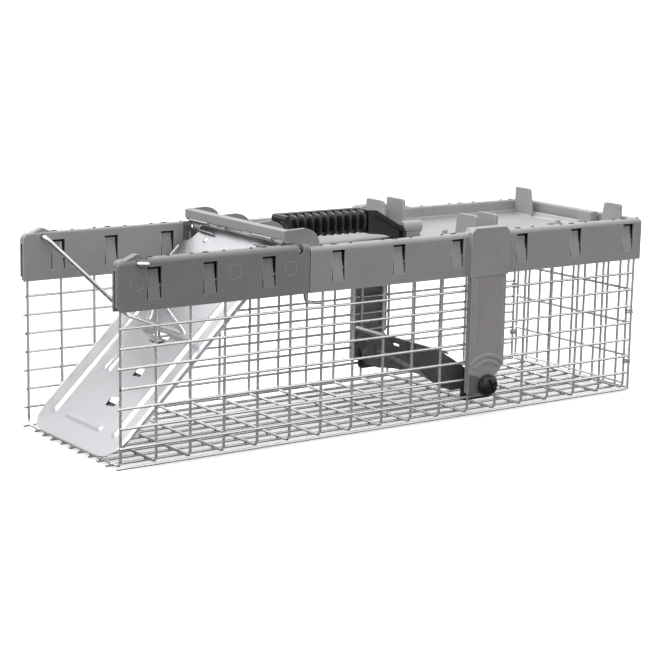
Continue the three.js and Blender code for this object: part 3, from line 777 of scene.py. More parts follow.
def build_front_rails():
    for side, word in SIDES:
        node = (f"front_rail_{word}",)
        # The near rail gets a darker grey than the far one: painted shade on the near side.
        near_shaded_look = "near_rail_painted_shade" if side < 0 else "rail_plastic"
        shell = rail_shell(side, word)
        carved(shell, *rail_additions(side), operation="UNION")
        carved(shell, *rail_cuts(side))
        eased(shell, 0.45, 2, 40)
        done(shell, "base", "rail_plastic", node, look=near_shaded_look)
        # Near-black strips in the channel and bars on the crest: painted shade inside the channel and the
        # slots.
        channel_shades = [channel_shade_strip(side, x) for x in SNAP_FRONT] + [channel_shade_strip(side, RAIL_X1, 5.0)]
        channel_shades += crest_slot_shades(side, SNAP_FRONT, RAIL_TOP)
        piece(f"front_rail_{word}_liners", "base", "rail_plastic", node, joined(*channel_shades), 0.1,
              look="knob_plastic")
        strips = [t for x in SNAP_FRONT for t in tongues(side, x)]
        piece(f"front_rail_{word}_tongues", "base", "rail_plastic", node, joined(*strips), 0.2, look=near_shaded_look)
        marks = [mould_ring(side, x, z) for x, z in ((-207.9, 118.7), (-136.6, 120.1), (-93.6, 119.1))]
        piece(f"front_rail_{word}_marks", "base", "rail_plastic", node, joined(*marks), look=near_shaded_look)


def rim_station(section, kind, t):
    """One cross-section of the cover's rim: along a side, or round one of the two rear corners."""
    ring = []
    for d, z in section:
        inset = RAIL_OUT - d
        turn = max(3.4 - inset, 0.05)
        if kind == "near":
            ring.append((t, -d, z))
        elif kind == "far":
            ring.append((t, d, z))
        else:
            side = -1 if kind == "near_corner" else 1
            a = math.radians(90 * t)
            cx, cy = COVER_X1 - inset - turn, d - turn
            ring.append((cx + turn * math.sin(a), side * (cy + turn * math.cos(a)), z))
    return ring


def rim_sweep(section):
    steps = 6
    stations = [("near", COVER_X0)]
    stations += [("near_corner", t / steps) for t in range(steps + 1)]
    stations += [("far_corner", 1 - t / steps) for t in range(steps + 1)]
    stations += [("far", COVER_X0)]
    return loft([rim_station(section, kind, t) for kind, t in stations])


# Upright fins on the tray: side, x, inner and outer distance from the centre plane, top.
FINS = (
    (1, 62.1, 36.5, 60.4, 141.9), (1, 81.2, 36.5, 60.4, 141.9),
    (-1, 70.5, 34.2, 58.3, 141.9), (-1, 88.6, 34.2, 58.3, 141.9),
    (1, 209.5, 40.0, 60.4, 142.4), (-1, 209.5, 37.5, 58.3, 141.9),
)
TRAY_END = 213.8
LUG_TOP = 132.6


def fin(side, x, d0, d1, top):
    foot = TRAY_Z - 1.5
    corners = [(side * d0, foot), (side * d1, foot), (side * (d1 - 0.4), top), (side * (d0 + 3.4), top)]
    return prism(rounded(corners, [0, 0, 1.8, 2.6]), "x", x - 1.15, x + 1.15)


def fin_foot(side, x, d0, d1):
    """Low fillet bead where an upstand meets the tray."""
    low, high = TRAY_Z - 0.5, TRAY_Z + 1.2
    return side_prism(side, [(x - 2.6, low), (x + 2.6, low), (x + 1.3, high), (x - 1.3, high)], d0, d1)


def knuckle(x0, x1, z, r):
    """Round barrel on a narrower foot."""
    foot = [(-r * 0.55, TRAY_Z - 1), (r * 0.55, TRAY_Z - 1), (r * 0.7, z - 1), (-r * 0.7, z - 1)]
    return joined(prism(circle(0, z, r, 28), "x", x0, x1), prism(foot, "x", x0 + 0.8, x1 - 0.8))


def stub(x, y, tall=2.9, r=2.1):
    profile = ((r * 1.15, -1.0), (r, 0.0), (r, tall - 0.8), (r * 0.75, tall), (0.2, tall + 0.1))
    return turned(x, y, TRAY_Z, profile, 20)


def speck(x, y, r):
    return turned(x, y, LUG_TOP - 0.4, ((r, -0.6), (r, 0.1), (r * 0.7, 0.5), (0.05, 0.6)), 10)


def cover_additions():
    """Tray, its front wall, the hoods over the guards, fins, knuckles and the lug at the rear rim."""
    parts = [
        block(-65.4, TRAY_END, -61.6, 61.6, TRAY_Z - 2.5, TRAY_Z),
        prism(rounded(rect(-65.4, -63.4, 114.0, 128.8), [0, 0, 0.9, 0.9]), "y", -61.4, 61.4),
    ]
    hood = rounded([(GUARD_X0 - 1.2, RAIL_Z0), (GUARD_X1 + 1.2, RAIL_Z0), (GUARD_X1 + 1.2, 132.6),
                    (GUARD_X1 - 2.0, 135.5), (GUARD_X0 + 2.0, 135.5), (GUARD_X0 - 1.2, 132.6)],
                   [0, 0, 2.0, 2.6, 2.6, 2.0], 5)
    cap = [(GUARD_X0 - 0.4, COVER_TOP - 0.8), (GUARD_X1 + 0.4, COVER_TOP - 0.8),
           (GUARD_X1 - 2.2, 135.2), (GUARD_X0 + 2.2, 135.2)]
    for side, _ in SIDES:
        parts.append(side_prism(side, hood, RAIL_OUT - 1.0, GUARD_OUT + 0.4))
        parts.append(side_prism(side, cap, RAIL_IN + 1.2, RAIL_OUT + 0.5))
    parts += [fin(*spec) for spec in FINS]
    parts += [knuckle(48.5, 64.5, 128.0, 4.6), knuckle(-61.0, -52.0, 125.2, 3.8)]
    parts.append(block(207.4, 214.2, -27.8, -14.8, TRAY_Z - 1, LUG_TOP))
    return parts


def cover_cuts():
    """Windows, lever pockets, a slit in the rear rim and the bores for the grip's pegs."""
    cuts = []
    for side, _ in SIDES:
        cuts += [snap_window(side, x, both=False) for x in SNAP_COVER]
        cuts.append(ear_pocket(side))
    cuts.append(block(211.0, COVER_X1 + 1, -14.0, -11.6, 127.4, COVER_TOP + 2))
    cuts.append(prism(circle(0, 127.2, 2.9, 24), "x", 47.0, 57.0))
    cuts.append(prism(circle(0, 125.0, 2.4, 24), "x", -59.5, -51.0))
    return cuts


def cover_details():
    """Beads at the fins' feet, stubs, a fillet round the tray's inside and specks on the lug."""
    extras = [fin_foot(side, x, d0 + 0.5, d1 - 0.5) for side, x, d0, d1, _ in FINS]
    extras += [stub(90, 1.4), stub(186.6, -6), stub(201.8, 2), stub(194.0, -2, 1.6, 1.5)]
    side_fillet = ((60.9, -0.3), (60.9, 3.4), (60.0, 1.6), (58.9, 0.5), (57.2, -0.05))
    rear_fillet = ((213.4, -0.3), (213.4, 3.4), (212.4, 1.6), (211.3, 0.5), (209.6, -0.05))
    for side, _ in SIDES:
        extras.append(prism([(side * d, TRAY_Z + h) for d, h in side_fillet], "x", -63.6, 213.6))
    extras.append(prism([(x, TRAY_Z + h) for x, h in rear_fillet], "y", -60.9, 60.9))
    for i in range(14):
        at = (210.4 + 2.4 * math.sin(i * 1.9 + 1), -21.3 + 6.0 * math.sin(i * 2.6))
        extras.append(speck(*at, 0.9 + 0.3 * math.sin(i)))
    return extras


def build_cover():
    node = ("top_cover",)
    shell = new_object("top_cover_moulding", rim_sweep(rail_section(COVER_TOP, RAIL_OUT)))
    carved(shell, *cover_additions(), operation="UNION")
    carved(shell, *cover_cuts())
    eased(shell, 0.5, 2, 40)
    done(shell, "base", "rail_plastic", node)
    strips = [t for side, _ in SIDES for x in SNAP_COVER for t in tongues(side, x, both=False)]
    piece("top_cover_tongues", "base", "rail_plastic", node, joined(*strips), 0.2)
    # Near-black strips in the channel and bars on the crest: painted shade inside the channel and the slots.
    channel_shades = [channel_shade_strip(side, x) for side, _ in SIDES for x in SNAP_COVER]
    channel_shades += [nib for side, _ in SIDES for nib in crest_slot_shades(side, SNAP_COVER, COVER_TOP)]
    piece("top_cover_liners", "base", "rail_plastic", node, joined(*channel_shades), 0.1, look="knob_plastic")
    piece("top_cover_details", "base", "rail_plastic", node, joined(*cover_details()), 0.25)


# ---- carry grip -----------------------------------------------------------------------------
def grip_ring(x, half, z0, z1, squeeze):
    """Cross-section of the ribbed bar, drawn in all round by squeeze."""
    ring = []
    mid, tall = (z0 + z1) / 2, (z1 - z0) / 2
    for k in range(36):
        a = 2 * math.pi * k / 36
        c, s = math.cos(a), math.sin(a)
        u = math.copysign(abs(c) ** 0.66, c)
        w = math.copysign(abs(s) ** 0.66, s)
        ring.append((x, u * (half - squeeze), mid + w * (tall - 0.75 * squeeze)))
    return ring


GRIP_TOP = 143.8
GRIP_HALF = 8.6


def grip_ribs():
    rings = []
    x0, x1, ribs, steps = -56.8, 13.6, 11, 10
    pitch = (x1 - x0) / ribs
    for i in range(ribs * steps + 1):
        x = x0 + pitch * i / steps
        wave = 0.5 - 0.5 * math.cos(2 * math.pi * (i % steps) / steps)
        low = max(126.8, 122.8 + (-46.5 - x) * 1.45)
        rings.append(grip_ring(x, GRIP_HALF, low, 143.6, 5.2 * (1 - wave ** 0.8)))
    return loft(rings)


def build_grip():
    node = ("handle_grip",)
    piece("grip_ribs", "base", "grip_plastic", node, grip_ribs(), flat_angle=70)
    front = rounded([(-58.6, 141.4), (-57.6, 143.6), (-54.4, GRIP_TOP), (-54.6, 140.8), (-44.2, 124.4),
                     (-41.4, 121.3), (-46.8, 121.3), (-57.2, 137.6)], [1.2, 1.0, 0.7, 1.5, 2, 0.4, 0.6, 2])
    rear = rounded([(12.6, GRIP_TOP), (19.5, 143.2), (44.5, 129.2), (46.6, 126.4), (46.6, 121.3),
                    (41.5, 121.3), (30.5, 124.4), (12.6, 126.9)], [0.8, 2.5, 2.0, 1.0, 0.6, 1, 3, 0.8])
    ends = joined(*(prism(end, "y", -GRIP_HALF, GRIP_HALF) for end in (front, rear)))
    notch = [(-60.0, 128.0), (-60.0, 139.8), (-56.6, 139.8), (-49.0, 128.0)]
    hollow = rounded([(16.8, 120.0), (16.8, 139.8), (20.5, 139.2), (43.6, 126.6), (43.6, 120.0)],
                     [0.4, 1, 3, 1.5, 0.4])
    recesses = [prism(notch, "y", -5.6, 5.6), prism(hollow, "y", -9.5, -6.0), prism(hollow, "y", 6.0, 9.5)]
    piece("grip_frame", "base", "grip_plastic", node, ends, 0.5, 3, recesses)
    spine = rounded(rect(-56.0, 14.5, 141.2, GRIP_TOP + 0.05), [0, 0, 0.7, 0.7])
    piece("grip_spine", "base", "grip_plastic", node, prism(spine, "y", 2.6, 8.5), 0.5, 3)
    pegs = [prism(circle(0, z, r, 24), "x", x0, x1) for x0, x1, z, r in
            ((43.0, 55.6, 127.2, 2.6), (-57.8, -44.0, 125.0, 2.1))]
    piece("grip_pegs", "base", "grip_plastic", node, joined(*pegs), 0.4)


# ---- set lever, door, rivets and springs -------------------------------------------------------
LEVER_D = 62.3
EAR = [(-94.6, 135.3), (-88.3, 134.6), (-87.6, 133.2), (-89.0, 130.2), (-88.2, 127.2), (-85.5, 126.0),
       (-80.5, 127.2), (-73.6, 131.0), (-67.6, 131.4), (-67.2, 133.6), (-67.9, 136.4), (-70.5, 140.0),
       (-74.5, 142.7), (-78.9, 143.8), (-94.6, 143.2)]
EAR_ROUNDING = [0.6, 0.6, 0.6, 2, 2, 2, 2, 3, 0.8, 1.5, 3, 3, 3, 3, 0.8]


def build_lever():
    """The bar, two ears at each side and a pad under the sheet at each rivet, all on the hinge's hub."""
    ear = rounded(EAR, EAR_ROUNDING, 4)
    bar = rounded([(-95.6, 136.7), (-89.6, 135.6), (-89.2, 142.6), (-90.4, 143.3), (-95.4, 143.1)],
                  [0.8, 0.8, 0.6, 0.8, 0.9], 3)
    parts = [prism(bar, "y", -LEVER_D, LEVER_D)]
    for side, _ in SIDES:
        parts.append(side_prism(side, ear, LEVER_D - 2.6, LEVER_D))
        parts.append(side_prism(side, ear, 20.0, 22.5))
        y = side * RIVET_Y
        parts.append(door_prism(rounded(rect(y - 5, y + 5, 162, 176.5), 1.5), -3.3, -1.1))
    hub = prism(circle(HINGE_X, HINGE_Z, 3.9, 28), "y", -LEVER_D + 0.05, LEVER_D - 0.05)
    made = new_object("set_lever_moulding", hub)
    carved(made, *parts, operation="UNION")
    carved(made, prism(circle(HINGE_X, HINGE_Z, 1.75, 20), "y", -70, 70))
    eased(made, 0.45, 2, 40)
    done(made, "door", "rail_plastic", ("set_lever",), look="lever_plastic")


def smooth(t):
    t = min(max(t, 0.0), 1.0)
    return t * t * (3 - 2 * t)


def ridge(y, s, a, b, half, height):
    """Height of a pressed rib from a to b at a point of the sheet."""
    ay, as_, by, bs = *a, *b
    dy, ds = by - ay, bs - as_
    t = ((y - ay) * dy + (s - as_) * ds) / (dy * dy + ds * ds)
    t = min(max(t, 0.0), 1.0)
    far = math.hypot(y - ay - t * dy, s - as_ - t * ds)
    return height * smooth((half - far) / (half * 0.62))


RIBS = (
    ((-41, 12.0), (-41, 124.0), 2.1, 1.1),
    ((41, 12.0), (41, 124.0), 2.3, 1.2),
    ((-21.5, 11.8), (22.5, 11.8), 1.9, 0.8),
    ((19.0, 52.5), (19.0, 64.5), 2.4, 1.0),
    ((25.0, 52.5), (25.0, 62.0), 1.9, 0.8),
    ((20.0, 87.5), (-6.5, 79.5), 2.6, 0.9),
    ((22.0, 97.0), (33.0, 112.0), 2.2, 0.6),
)


def door_height(y, s):
    h = max(ridge(y, s, *rib) for rib in RIBS)
    h -= 0.35 * smooth((abs(y) - 53.0) / 4.0)
    h += 0.25 * math.sin(s * 0.035 + 0.6) * math.cos(y * 0.03)
    return h


def door_outline():
    half = [(39.0, -5.1), (47.5, -3.9), (54.5, 3.0), (57.3, 11.5), (57.8, 15.0), (57.8, 160.5), (56.0, 163.0),
            (51.5, 163.6), (48.5, 166.4), (46.6, 172.0), (46.0, 177.8)]
    rounding = [3, 4, 4, 3, 1, 1, 1.5, 2, 2, 1.5, 0.8]
    other = [(-y, s) for y, s in reversed(half)]
    return rounded(half + other, rounding + rounding[::-1], 4)


def pressed_sheet():
    """The sheet as a fine closed grid, wider than its outline, that follows door_height."""
    step = 1.25
    ys = [-59 + step * i for i in range(int(118 / step) + 1)]
    ss = [-6.4 + step * i for i in range(int(186 / step) + 1)]
    front = [on_door(y, s, door_height(y, s)) for s in ss for y in ys]
    back = [on_door(y, s, door_height(y, s) - DOOR_T) for s in ss for y in ys]
    wide, tall, base = len(ys), len(ss), len(front)
    faces = []
    for j in range(tall - 1):
        for i in range(wide - 1):
            a, d = j * wide + i, (j + 1) * wide + i
            faces.append((a, a + 1, d + 1, d))
            faces.append((base + d, base + d + 1, base + a + 1, base + a))
    rim = list(range(wide)) + [j * wide + wide - 1 for j in range(1, tall)]
    rim += [(tall - 1) * wide + i for i in range(wide - 2, -1, -1)]
    rim += [j * wide for j in range(tall - 2, 0, -1)]
    faces += [(b, a, base + a, base + b) for a, b in zip(rim, rim[1:] + rim[:1])]
    return front + back, faces


def build_door():
    """The pressed sheet cut to its outline and pierced: three lanced openings and two rivet holes."""
    sheet = new_object("door_sheet_panel", pressed_sheet())
    carved(sheet, door_prism(door_outline(), -6, 6), operation="INTERSECT")
    openings = [
        rounded([(-18, 29.5), (-7.5, 28.0), (-6.5, 33.5), (-16.0, 37.0)], 1.2),
        rounded([(-19, 55.0), (-10.0, 54.0), (-9.0, 59.5), (-17.5, 62.0)], 1.2),
        rounded(rect(-15.0, 5.0, 86.5, 90.5), 1.0),
        circle(RIVET_Y, RIVET_S, 1.4, 16),
        circle(-RIVET_Y, RIVET_S, 1.4, 16),
    ]
    carved(sheet, *(door_prism(opening, -4, 4) for opening in openings))
    done(sheet, "door", "door_sheet", ("door_panel",), 50)


def lifted_tab(low, high, rise):
    """A lanced tab: starts in the sheet along its low edge and curls out of it to its high one."""
    rings = []
    steps = 6
    for i in range(steps + 1):
        t = i / steps
        (y0, s0), (y1, s1) = (Vector(a).lerp(Vector(b), t) for a, b in zip(low, high))
        n = rise * math.sin(t * math.pi / 2) ** 1.4
        rings.append([on_door(y0, s0, n), on_door(y1, s1, n),
                      on_door(y1, s1, n - DOOR_T), on_door(y0, s0, n - DOOR_T)])
    return loft(rings)


def build_door_trim():
    node = ("door_panel",)
    section = [(57.75, 0.3), (57.75, -2.6), (56.95, -2.6), (56.95, -0.9), (56.2, -0.9), (56.2, -0.2),
               (57.0, 0.05)]
    flanges = [loft([[on_door(side * d, s, n) for d, n in section] for s in (16.5, 60, 110, 158)])
               for side, _ in SIDES]
    # The flanges take a near-white look: painted highlight.
    piece("door_side_flanges", "door", "door_sheet", node, joined(*flanges), 0.25, look="door_edge")
    fold = [(-93.8, 133.9), (-95.9, 135.0), (-96.6, 136.3), (-96.0, 136.9), (-95.3, 136.1), (-93.6, 134.8)]
    folds = [prism(fold, "y", y0, y1) for y0, y1 in ((-48.0, -24.5), (31.6, 55.8))]
    piece("door_top_folds", "door", "door_sheet", node, joined(*folds), 0.15)
    # Dark plates behind the lanced openings: painted shade seen through them.
    opening_shades = [door_prism(rounded(rect(y - 7.0, y + 7.0, s - 6.0, s + 6.0), 2), -2.2, -1.2)
             for y, s in ((-12.2, 32.4), (-13.8, 58.0))]
    piece("door_opening_shade_plates", "door", "door_sheet", node, joined(*opening_shades), 0.2, look="pan_coat")
    tabs = [
        lifted_tab([(-17.5, 31.5), (-15.5, 36.6)], [(-11.6, 30.8), (-10.6, 34.0)], 2.2),
        lifted_tab([(-18.5, 57.0), (-17.0, 61.6)], [(-13.0, 56.2), (-12.4, 59.4)], 1.9),
        lifted_tab([(-14.5, 86.3), (4.5, 86.3)], [(-10.5, 81.6), (2.0, 81.6)], 2.1),
    ]
    piece("door_lanced_tabs", "door", "door_sheet", node, joined(*tabs), 0.15)


def build_rivets():
    profile = [(0.02, 1.15), (1.2, 1.05), (2.0, 0.75), (2.5, 0.3), (2.5, 0.1), (1.15, 0.05), (1.15, -3.4),
               (2.3, -3.6), (2.3, -4.0), (1.6, -4.4), (0.02, -4.5)]
    for side, word in SIDES:
        at = (side * RIVET_Y, RIVET_S)
        rivet = loft([[on_door(y, s, n) for y, s in circle(*at, r, 24)] for r, n in profile])
        piece(f"door_rivet_{word}_set", "door", "bright_wire", (f"door_rivet_{word}",), rivet)


def build_springs():
    """A leg across the door, a coil round the hinge rod and a short tail to the rear."""
    turns, per, r = 4.33, 26, 5.0
    for side, word in SIDES:
        path = [on_door(side * 26, 172, 1.6), on_door(side * 40, 172.3, 1.7), on_door(side * 47.6, 173, 1.7)]
        for i in range(int(turns * per) + 1):
            a = math.radians(150) + 2 * math.pi * i / per
            y = side * (50.0 + 1.75 * i / per)
            path.append((HINGE_X + r * math.cos(a), y, HINGE_Z + r * math.sin(a)))
        path += [(-79.5, side * 57.9, 124.1), (-71, side * 57.9, 122.6)]
        piece(f"door_spring_{word}_coil", "door", "spring_wire", (f"door_spring_{word}",), tube(path, 0.72))


# ---- wires that move, axle and rods ----------------------------------------------------------------
def build_bail():
    """Wire from rail to rail by way of the door's ribs, its near end hooked back along the rail."""
    x, _, z = on_door(0, 91.9, 5.1)
    half = 36.5
    hook = [(BAIL_X + 6.2, -70.0, BAIL_Z - 0.5), (BAIL_X + 2.0, -69.9, BAIL_Z - 0.1),
            (BAIL_X + 0.2, -69.0, BAIL_Z), (BAIL_X - 0.4, -67.6, BAIL_Z)]
    path = bent([(BAIL_X, -68.3, BAIL_Z), (BAIL_X, -57.5, BAIL_Z), (x, -half, z), (x, half, z),
                 (BAIL_X, 57.5, BAIL_Z), (BAIL_X, 68.3, BAIL_Z)], 4.2, 8)
    piece("lock_bail_wire", "bail", "bright_wire", ("lock_bail",), tube(hook + path[1:], 1.6, 16))


def build_rods():
    hinge = [(HINGE_X, y, HINGE_Z) for y in (-66.4, -60, 0, 60, 66.4)]
    piece("hinge_rod_pin", "base", "bright_wire", ("hinge_rod",), tube(hinge, 1.4, 16), look="spring_wire")
    axle = [(AXLE_X, y, AXLE_Z) for y in (-75, -60, 0, 60, 75)]
    piece("pan_axle_rod", "pan", "bright_wire", ("pan_axle",), tube(axle, 1.4, 16))
    pin_z, rod_y = 112.0, -58.2
    path = bent([(AXLE_X, -51.4, pin_z), (AXLE_X, rod_y, pin_z), (-77.0, rod_y, pin_z),
                 (-74.8, rod_y, 94.0), (-60.0, rod_y, 91.8)], 3.4, 8)
    piece("trip_rod_wire", "rod", "bright_wire", ("trip_rod",), tube(path, 1.2, 12))
    outline = [(AXLE_X + dx, z) for dx, z in ((-5, 17), (5, 17), (5, 30), (4, 36),
                                              (4, 116.6), (-4, 116.6), (-4, 36), (-5, 30))]
    arm = prism(rounded(outline, [3, 3, 2, 2, 3, 3, 2, 2]), "y", -56.0, -54.0)
    holes = [bar_through(AXLE_X, z, r, -1, 50, 60) for z, r in ((AXLE_Z, 1.7), (pin_z, 2.1))]
    piece("trip_arm_strip", "pan", "clip_steel", ("trip_arm",), arm, 0.3, 2, holes)


# ---- side guards, knobs and pan -----------------------------------------------------------------
def guard_outline():
    """Strip down the side that ends in a round lobe under the axle."""
    return [(GUARD_X0, GUARD_FOOT + 1.3), (GUARD_X0 + 1.5, GUARD_FOOT), (AXLE_X - 5.5, GUARD_FOOT),
            *arc(AXLE_X, AXLE_Z, 8.4, 250, 392, 14),
            (GUARD_X1 - 4, 32), (GUARD_X1, 37), (GUARD_X1, GUARD_TOP), (GUARD_X0, GUARD_TOP)]


def arch(side, r_in, r_out, rise, low):
    """Raised arch over the axle between two radii, cut off at the height low."""
    a = math.degrees(math.asin((low - AXLE_Z) / r_out))
    outline = [*arc(AXLE_X, AXLE_Z, r_out, a, 180 - a, 24), *arc(AXLE_X, AXLE_Z, r_in, 180 - a, a, 24)]
    return side_prism(side, outline, GUARD_OUT - 1.0, GUARD_OUT + rise)


def guard_parts(side):
    """Face, an edge strip down each long side, two arches over the axle and ribs behind the face."""
    left = rect(GUARD_X0, GUARD_X0 + 4.2, GUARD_FOOT + 1.3, GUARD_TOP)
    right = rect(GUARD_X1 - 2.6, GUARD_X1, 37, GUARD_TOP)
    parts = [
        side_prism(side, guard_outline(), GUARD_OUT - 1.6, GUARD_OUT - 0.35),
        side_prism(side, left, MESH_D1 + 0.4, GUARD_OUT),
        side_prism(side, right, MESH_D1 + 0.4, GUARD_OUT),
        arch(side, 20.0, 22.0, 0.5, 38.9),
        arch(side, 16.1, 17.6, 0.4, 36.6),
    ]
    for z in (40.8, 52.5, 64.0, 78.0, 92.0):
        rib = rect(GUARD_X0 + 3, GUARD_X1 - 2, z, z + 1.5)
        parts.append(side_prism(side, rib, MESH_D1 + 0.9, GUARD_OUT - 1.0))
    return parts


def build_guards():
    x0, x1 = GUARD_X0 + 0.15, AXLE_X - 5.5
    foot = rounded([(x0, GUARD_FOOT + 0.3), (x1, GUARD_FOOT + 0.3), (x1, 29.5), (x0, 32.5)], [0.8, 1, 3, 0.8])
    bracket = rounded([(58, 11), (86.6, 11), (86.6, 30), (82, 35), (62, 35), (58, 31)], [4, 4, 3, 3, 3, 3])
    for side, word in SIDES:
        node = (f"side_guard_{word}",)
        bore = bar_through(AXLE_X, AXLE_Z, AXLE_BORE, side, 60, 80)
        piece(f"side_guard_{word}_moulding", "base", "guard_plastic", node, joined(*guard_parts(side)),
              0.4, 2, [bore])
        # A darker plate over the lower front of each guard: painted shade.
        piece(f"side_guard_{word}_foot", "base", "guard_plastic", node,
              side_prism(side, foot, GUARD_OUT - 1.2, GUARD_OUT + 0.3), 0.1, look="guard_foot_painted_shade")
        plate = [side_prism(side, bracket, 60.5, 62.4)]
        plate += [side_prism(side, rect(x, x + 1.4, 14, 31), 58.6, 61.0) for x in (60.0, 83.2)]
        piece(f"guard_bracket_{word}_plate", "base", "pan_coat", (f"guard_bracket_{word}",), joined(*plate),
              0.35, 2, [bar_through(AXLE_X, AXLE_Z, AXLE_BORE, side, 50, 70)])


def knob_cuts(side, y0, top):
    """A cross slot in the knob's face and eight finger notches round its rim."""
    cuts = []
    for a in (25, 115):
        c, s = math.cos(math.radians(a)), math.sin(math.radians(a))
        slot = rect(-5.4, 5.4, -0.75, 0.75)
        outline = [(AXLE_X + u * c - w * s, AXLE_Z + u * s + w * c) for u, w in slot]
        cuts.append(side_prism(side, outline, y0 + top - 1.5, y0 + top + 2))
    for k in range(8):
        a = math.radians(45 * k + 10)
        at = (AXLE_X + 8.1 * math.cos(a), AXLE_Z + 8.1 * math.sin(a))
        cuts.append(mirrored(side, lathe([(0.9, 0), (0.9, 3)], at, y0 - 0.5, 1, 14)))
    return cuts


def build_knobs():
    y0 = GUARD_OUT + 1.0
    top = KNOB_OUT - y0
    profile = [(0.05, 0), (7.4, 0), (7.95, 0.5), (7.95, 1.9), (7.6, 2.3), (7.1, 2.5), (6.9, 3.2),
               (6.4, top - 1.1), (5.6, top - 0.4), (3.4, top - 0.05), (0.05, top)]
    for side, word in SIDES:
        dome = new_object(f"axle_knob_{word}_cap", lathe(profile, (AXLE_X, AXLE_Z), y0, side, 48))
        carved(dome, *knob_cuts(side, y0, top))
        eased(dome, 0.25, 2, 40)
        done(dome, "pan", "knob_plastic", (f"axle_knob_{word}",))


def thick_path(points, thick):
    """Outline of a bent sheet of the given thickness drawn along a centre line in X and Z."""
    left, right = [], []
    pts = [Vector(p) for p in points]
    for i, p in enumerate(pts):
        t = (pts[min(i + 1, len(pts) - 1)] - pts[max(i - 1, 0)]).normalized()
        n = Vector((-t.y, t.x)) * thick / 2
        left.append(tuple(p + n))
        right.append(tuple(p - n))
    return left + right[::-1]


PAN_LINE = [(53.6, 43.9), (50.6, 45.4), (48.4, 46.2), (47.5, 46.1), (47.3, 45.2), (48.0, 43.2),
            (50.2, 37.0), (52.4, 30.6), (54.6, 24.4), (56.2, 19.6), (57.4, 17.2), (58.3, 16.9)]


def pan_fold_highlight():
    """Strip along the crease across the pan, widest at its middle, drawn bright as a painted highlight."""
    rings = []
    for i in range(41):
        t = i / 40
        y = 30.0 - 64.0 * t
        z = 31.5 - 12.5 * t ** 1.3 + 2.0 * math.sin(math.pi * t)
        x = 46.9 + (46.2 - z) / 29.0 * 9.4
        wide = 0.5 + 2.3 * math.sin(math.pi * min(t * 1.1, 1.0)) ** 0.6
        rings.append([(x - 0.6, y, z + wide), (x + 1.3, y, z + 0.2),
                      (x + 1.6, y, z - wide), (x - 0.1, y, z - wide)])
    return loft(rings)


def build_pan():
    node = ("trip_pan",)
    half = span("trip_pan")[1][1]
    sheet = new_object("trip_pan_sheet", prism(thick_path(PAN_LINE, 1.05), "y", -half + 0.1, half - 0.1))
    bow = rounded([(-41, 5), (41, 5), (36, 16.5), (27.0, 18.4), (12.0, 20.6), (-4.0, 21.8), (-18.0, 22.4),
                   (-29.0, 20.0), (-37, 16.5)], [0, 0, 2, 6, 9, 9, 9, 6, 2], 6)
    slot = rounded(rect(-1.4, 6.6, 40.2, 42.2), 0.8)
    carved(sheet, *(prism(outline, "x", 40, 62) for outline in (bow, slot, circle(30.5, 32.6, 2.1, 24))))
    eased(sheet, 0.2, 2, 50)
    done(sheet, "pan", "pan_coat", node, look="pan_gloss")
    flange = rounded([(47.4, 45.9), (59.5, 38.6), (71.5, 30.4), (76.8, 27.4), (77.6, 20.6), (72.3, 17.4),
                      (57.6, 16.8)], [1, 5, 5, 3, 3, 4, 1.5])
    plates = [side_prism(side, flange, half - 1.1, half) for side, _ in SIDES]
    holes = [bar_through(AXLE_X, AXLE_Z, 1.7, side, 45, 60) for side, _ in SIDES]
    piece("trip_pan_flanges", "pan", "pan_coat", node, joined(*plates), 0.3, 2, holes, look="pan_gloss")
    # The crease strip takes a bright metal look: painted highlight.
    piece("trip_pan_fold", "pan", "pan_coat", node, pan_fold_highlight(), 0.25, look="clip_steel")
    # Bright strip along the pan's rolled lip: painted highlight.
    lip = thick_path([(46.9, 43.4), (46.6, 45.6), (47.6, 46.9), (49.6, 46.7)], 0.7)
    piece("trip_pan_lip_highlight", "pan", "clip_steel", node, prism(lip, "y", 16.5, half - 1.4), 0.2)


# ---- stage: camera, light, floor --------------------------------------------------------------------
VIEW_AZIMUTH, VIEW_ELEVATION, VIEW_ROLL = (math.radians(a) for a in (-35.39, 11.11, 1.08))
CAMERA_PLACE = (-0.7616, -1.0476, 0.3151)  # metres
CAMERA_LENS, SENSOR_WIDTH = 102.56, 36.0
FLOOR_REACH, FLOOR_Z = 40000, -0.3


def build_camera():
    level = math.cos(VIEW_ELEVATION)
    c, s = math.cos(VIEW_AZIMUTH), math.sin(VIEW_AZIMUTH)
    back = Vector((s * level, -c * level, math.sin(VIEW_ELEVATION)))
    flat_right = Vector((c, s, 0))
    flat_up = back.cross(flat_right)
    right = flat_right * math.cos(VIEW_ROLL) + flat_up * math.sin(VIEW_ROLL)
    up = flat_up * math.cos(VIEW_ROLL) - flat_right * math.sin(VIEW_ROLL)
    data = bpy.data.cameras.new("view")
    data.lens = CAMERA_LENS
    data.sensor_width = SENSOR_WIDTH
    camera = bpy.data.objects.new("view", data)
    scene.collection.objects.link(camera)
    placed = Matrix((right, up, back)).transposed().to_4x4()
    placed.translation = CAMERA_PLACE
    camera.matrix_world = placed
    scene.camera = camera


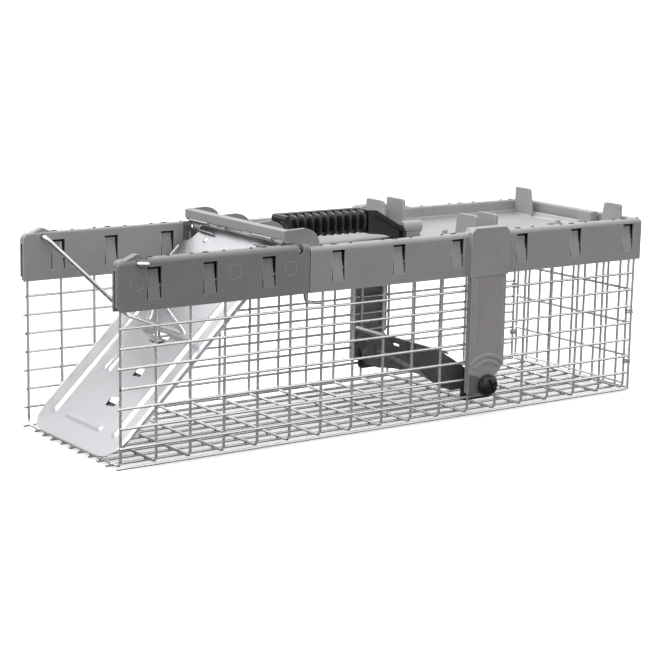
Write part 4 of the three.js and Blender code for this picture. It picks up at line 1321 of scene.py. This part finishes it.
def build_floor():
    """A pale, faintly glowing floor that doesn't light the trap."""
    corners = [(x, y, FLOOR_Z) for x, y in rect(-FLOOR_REACH, FLOOR_REACH, -FLOOR_REACH, FLOOR_REACH)]
    floor = new_object("floor", (corners, [(0, 1, 2, 3)]))
    mat, tree, bsdf = node_tree("pale_floor")
    coords = tree.nodes.new("ShaderNodeTexCoord").outputs["Object"]
    pale = ramp(tree, noise(tree, coords, 3.0), [(0.3, (0.77, 0.77, 0.775)), (0.7, (0.80, 0.80, 0.80))])
    tree.links.new(pale, bsdf.inputs["Base Color"])
    bsdf.inputs["Roughness"].default_value = 0.7
    bsdf.inputs["Specular IOR Level"].default_value = 0.2
    bsdf.inputs["Emission Color"].default_value = (1, 1, 1, 1)
    bsdf.inputs["Emission Strength"].default_value = 0.55
    floor.data.materials.append(mat)
    floor.visible_diffuse = False
    floor.visible_glossy = False


def build_light():
    """A studio dome, dark low down and white above, and a soft sun from the door end's far side."""
    world = bpy.data.worlds.new("studio")
    world.use_nodes = True
    tree = world.node_tree
    split = tree.nodes.new("ShaderNodeSeparateXYZ")
    tree.links.new(tree.nodes.new("ShaderNodeTexCoord").outputs["Generated"], split.inputs[0])
    height = spread(tree, split.outputs["Z"], 0.0, 1.0, (-0.3, 0.7))
    sky = ramp(tree, height, [(0.0, (0.09, 0.09, 0.09)), (0.2, (0.24, 0.24, 0.24)),
                              (0.3, (0.60, 0.60, 0.605)), (0.46, (0.92, 0.92, 0.93)),
                              (0.75, (1.0, 1.0, 1.0))])
    tree.links.new(sky, tree.nodes["Background"].inputs["Color"])
    tree.nodes["Background"].inputs["Strength"].default_value = 1.05
    scene.world = world
    data = bpy.data.lights.new("soft_top", "SUN")
    data.energy = 2.3
    data.angle = math.radians(50)
    light = bpy.data.objects.new("soft_top", data)
    light.rotation_mode = "QUATERNION"
    light.rotation_quaternion = Vector((0.25, -0.4, -1.0)).to_track_quat("-Z", "Y")
    scene.collection.objects.link(light)


build_floor()
build_light()
build_camera()
build_mesh()
build_clips()
build_front_rails()
build_cover()
build_grip()
build_lever()
build_door()
build_door_trim()
build_rivets()
build_springs()
build_bail()
build_rods()
build_guards()
build_knobs()
build_pan()
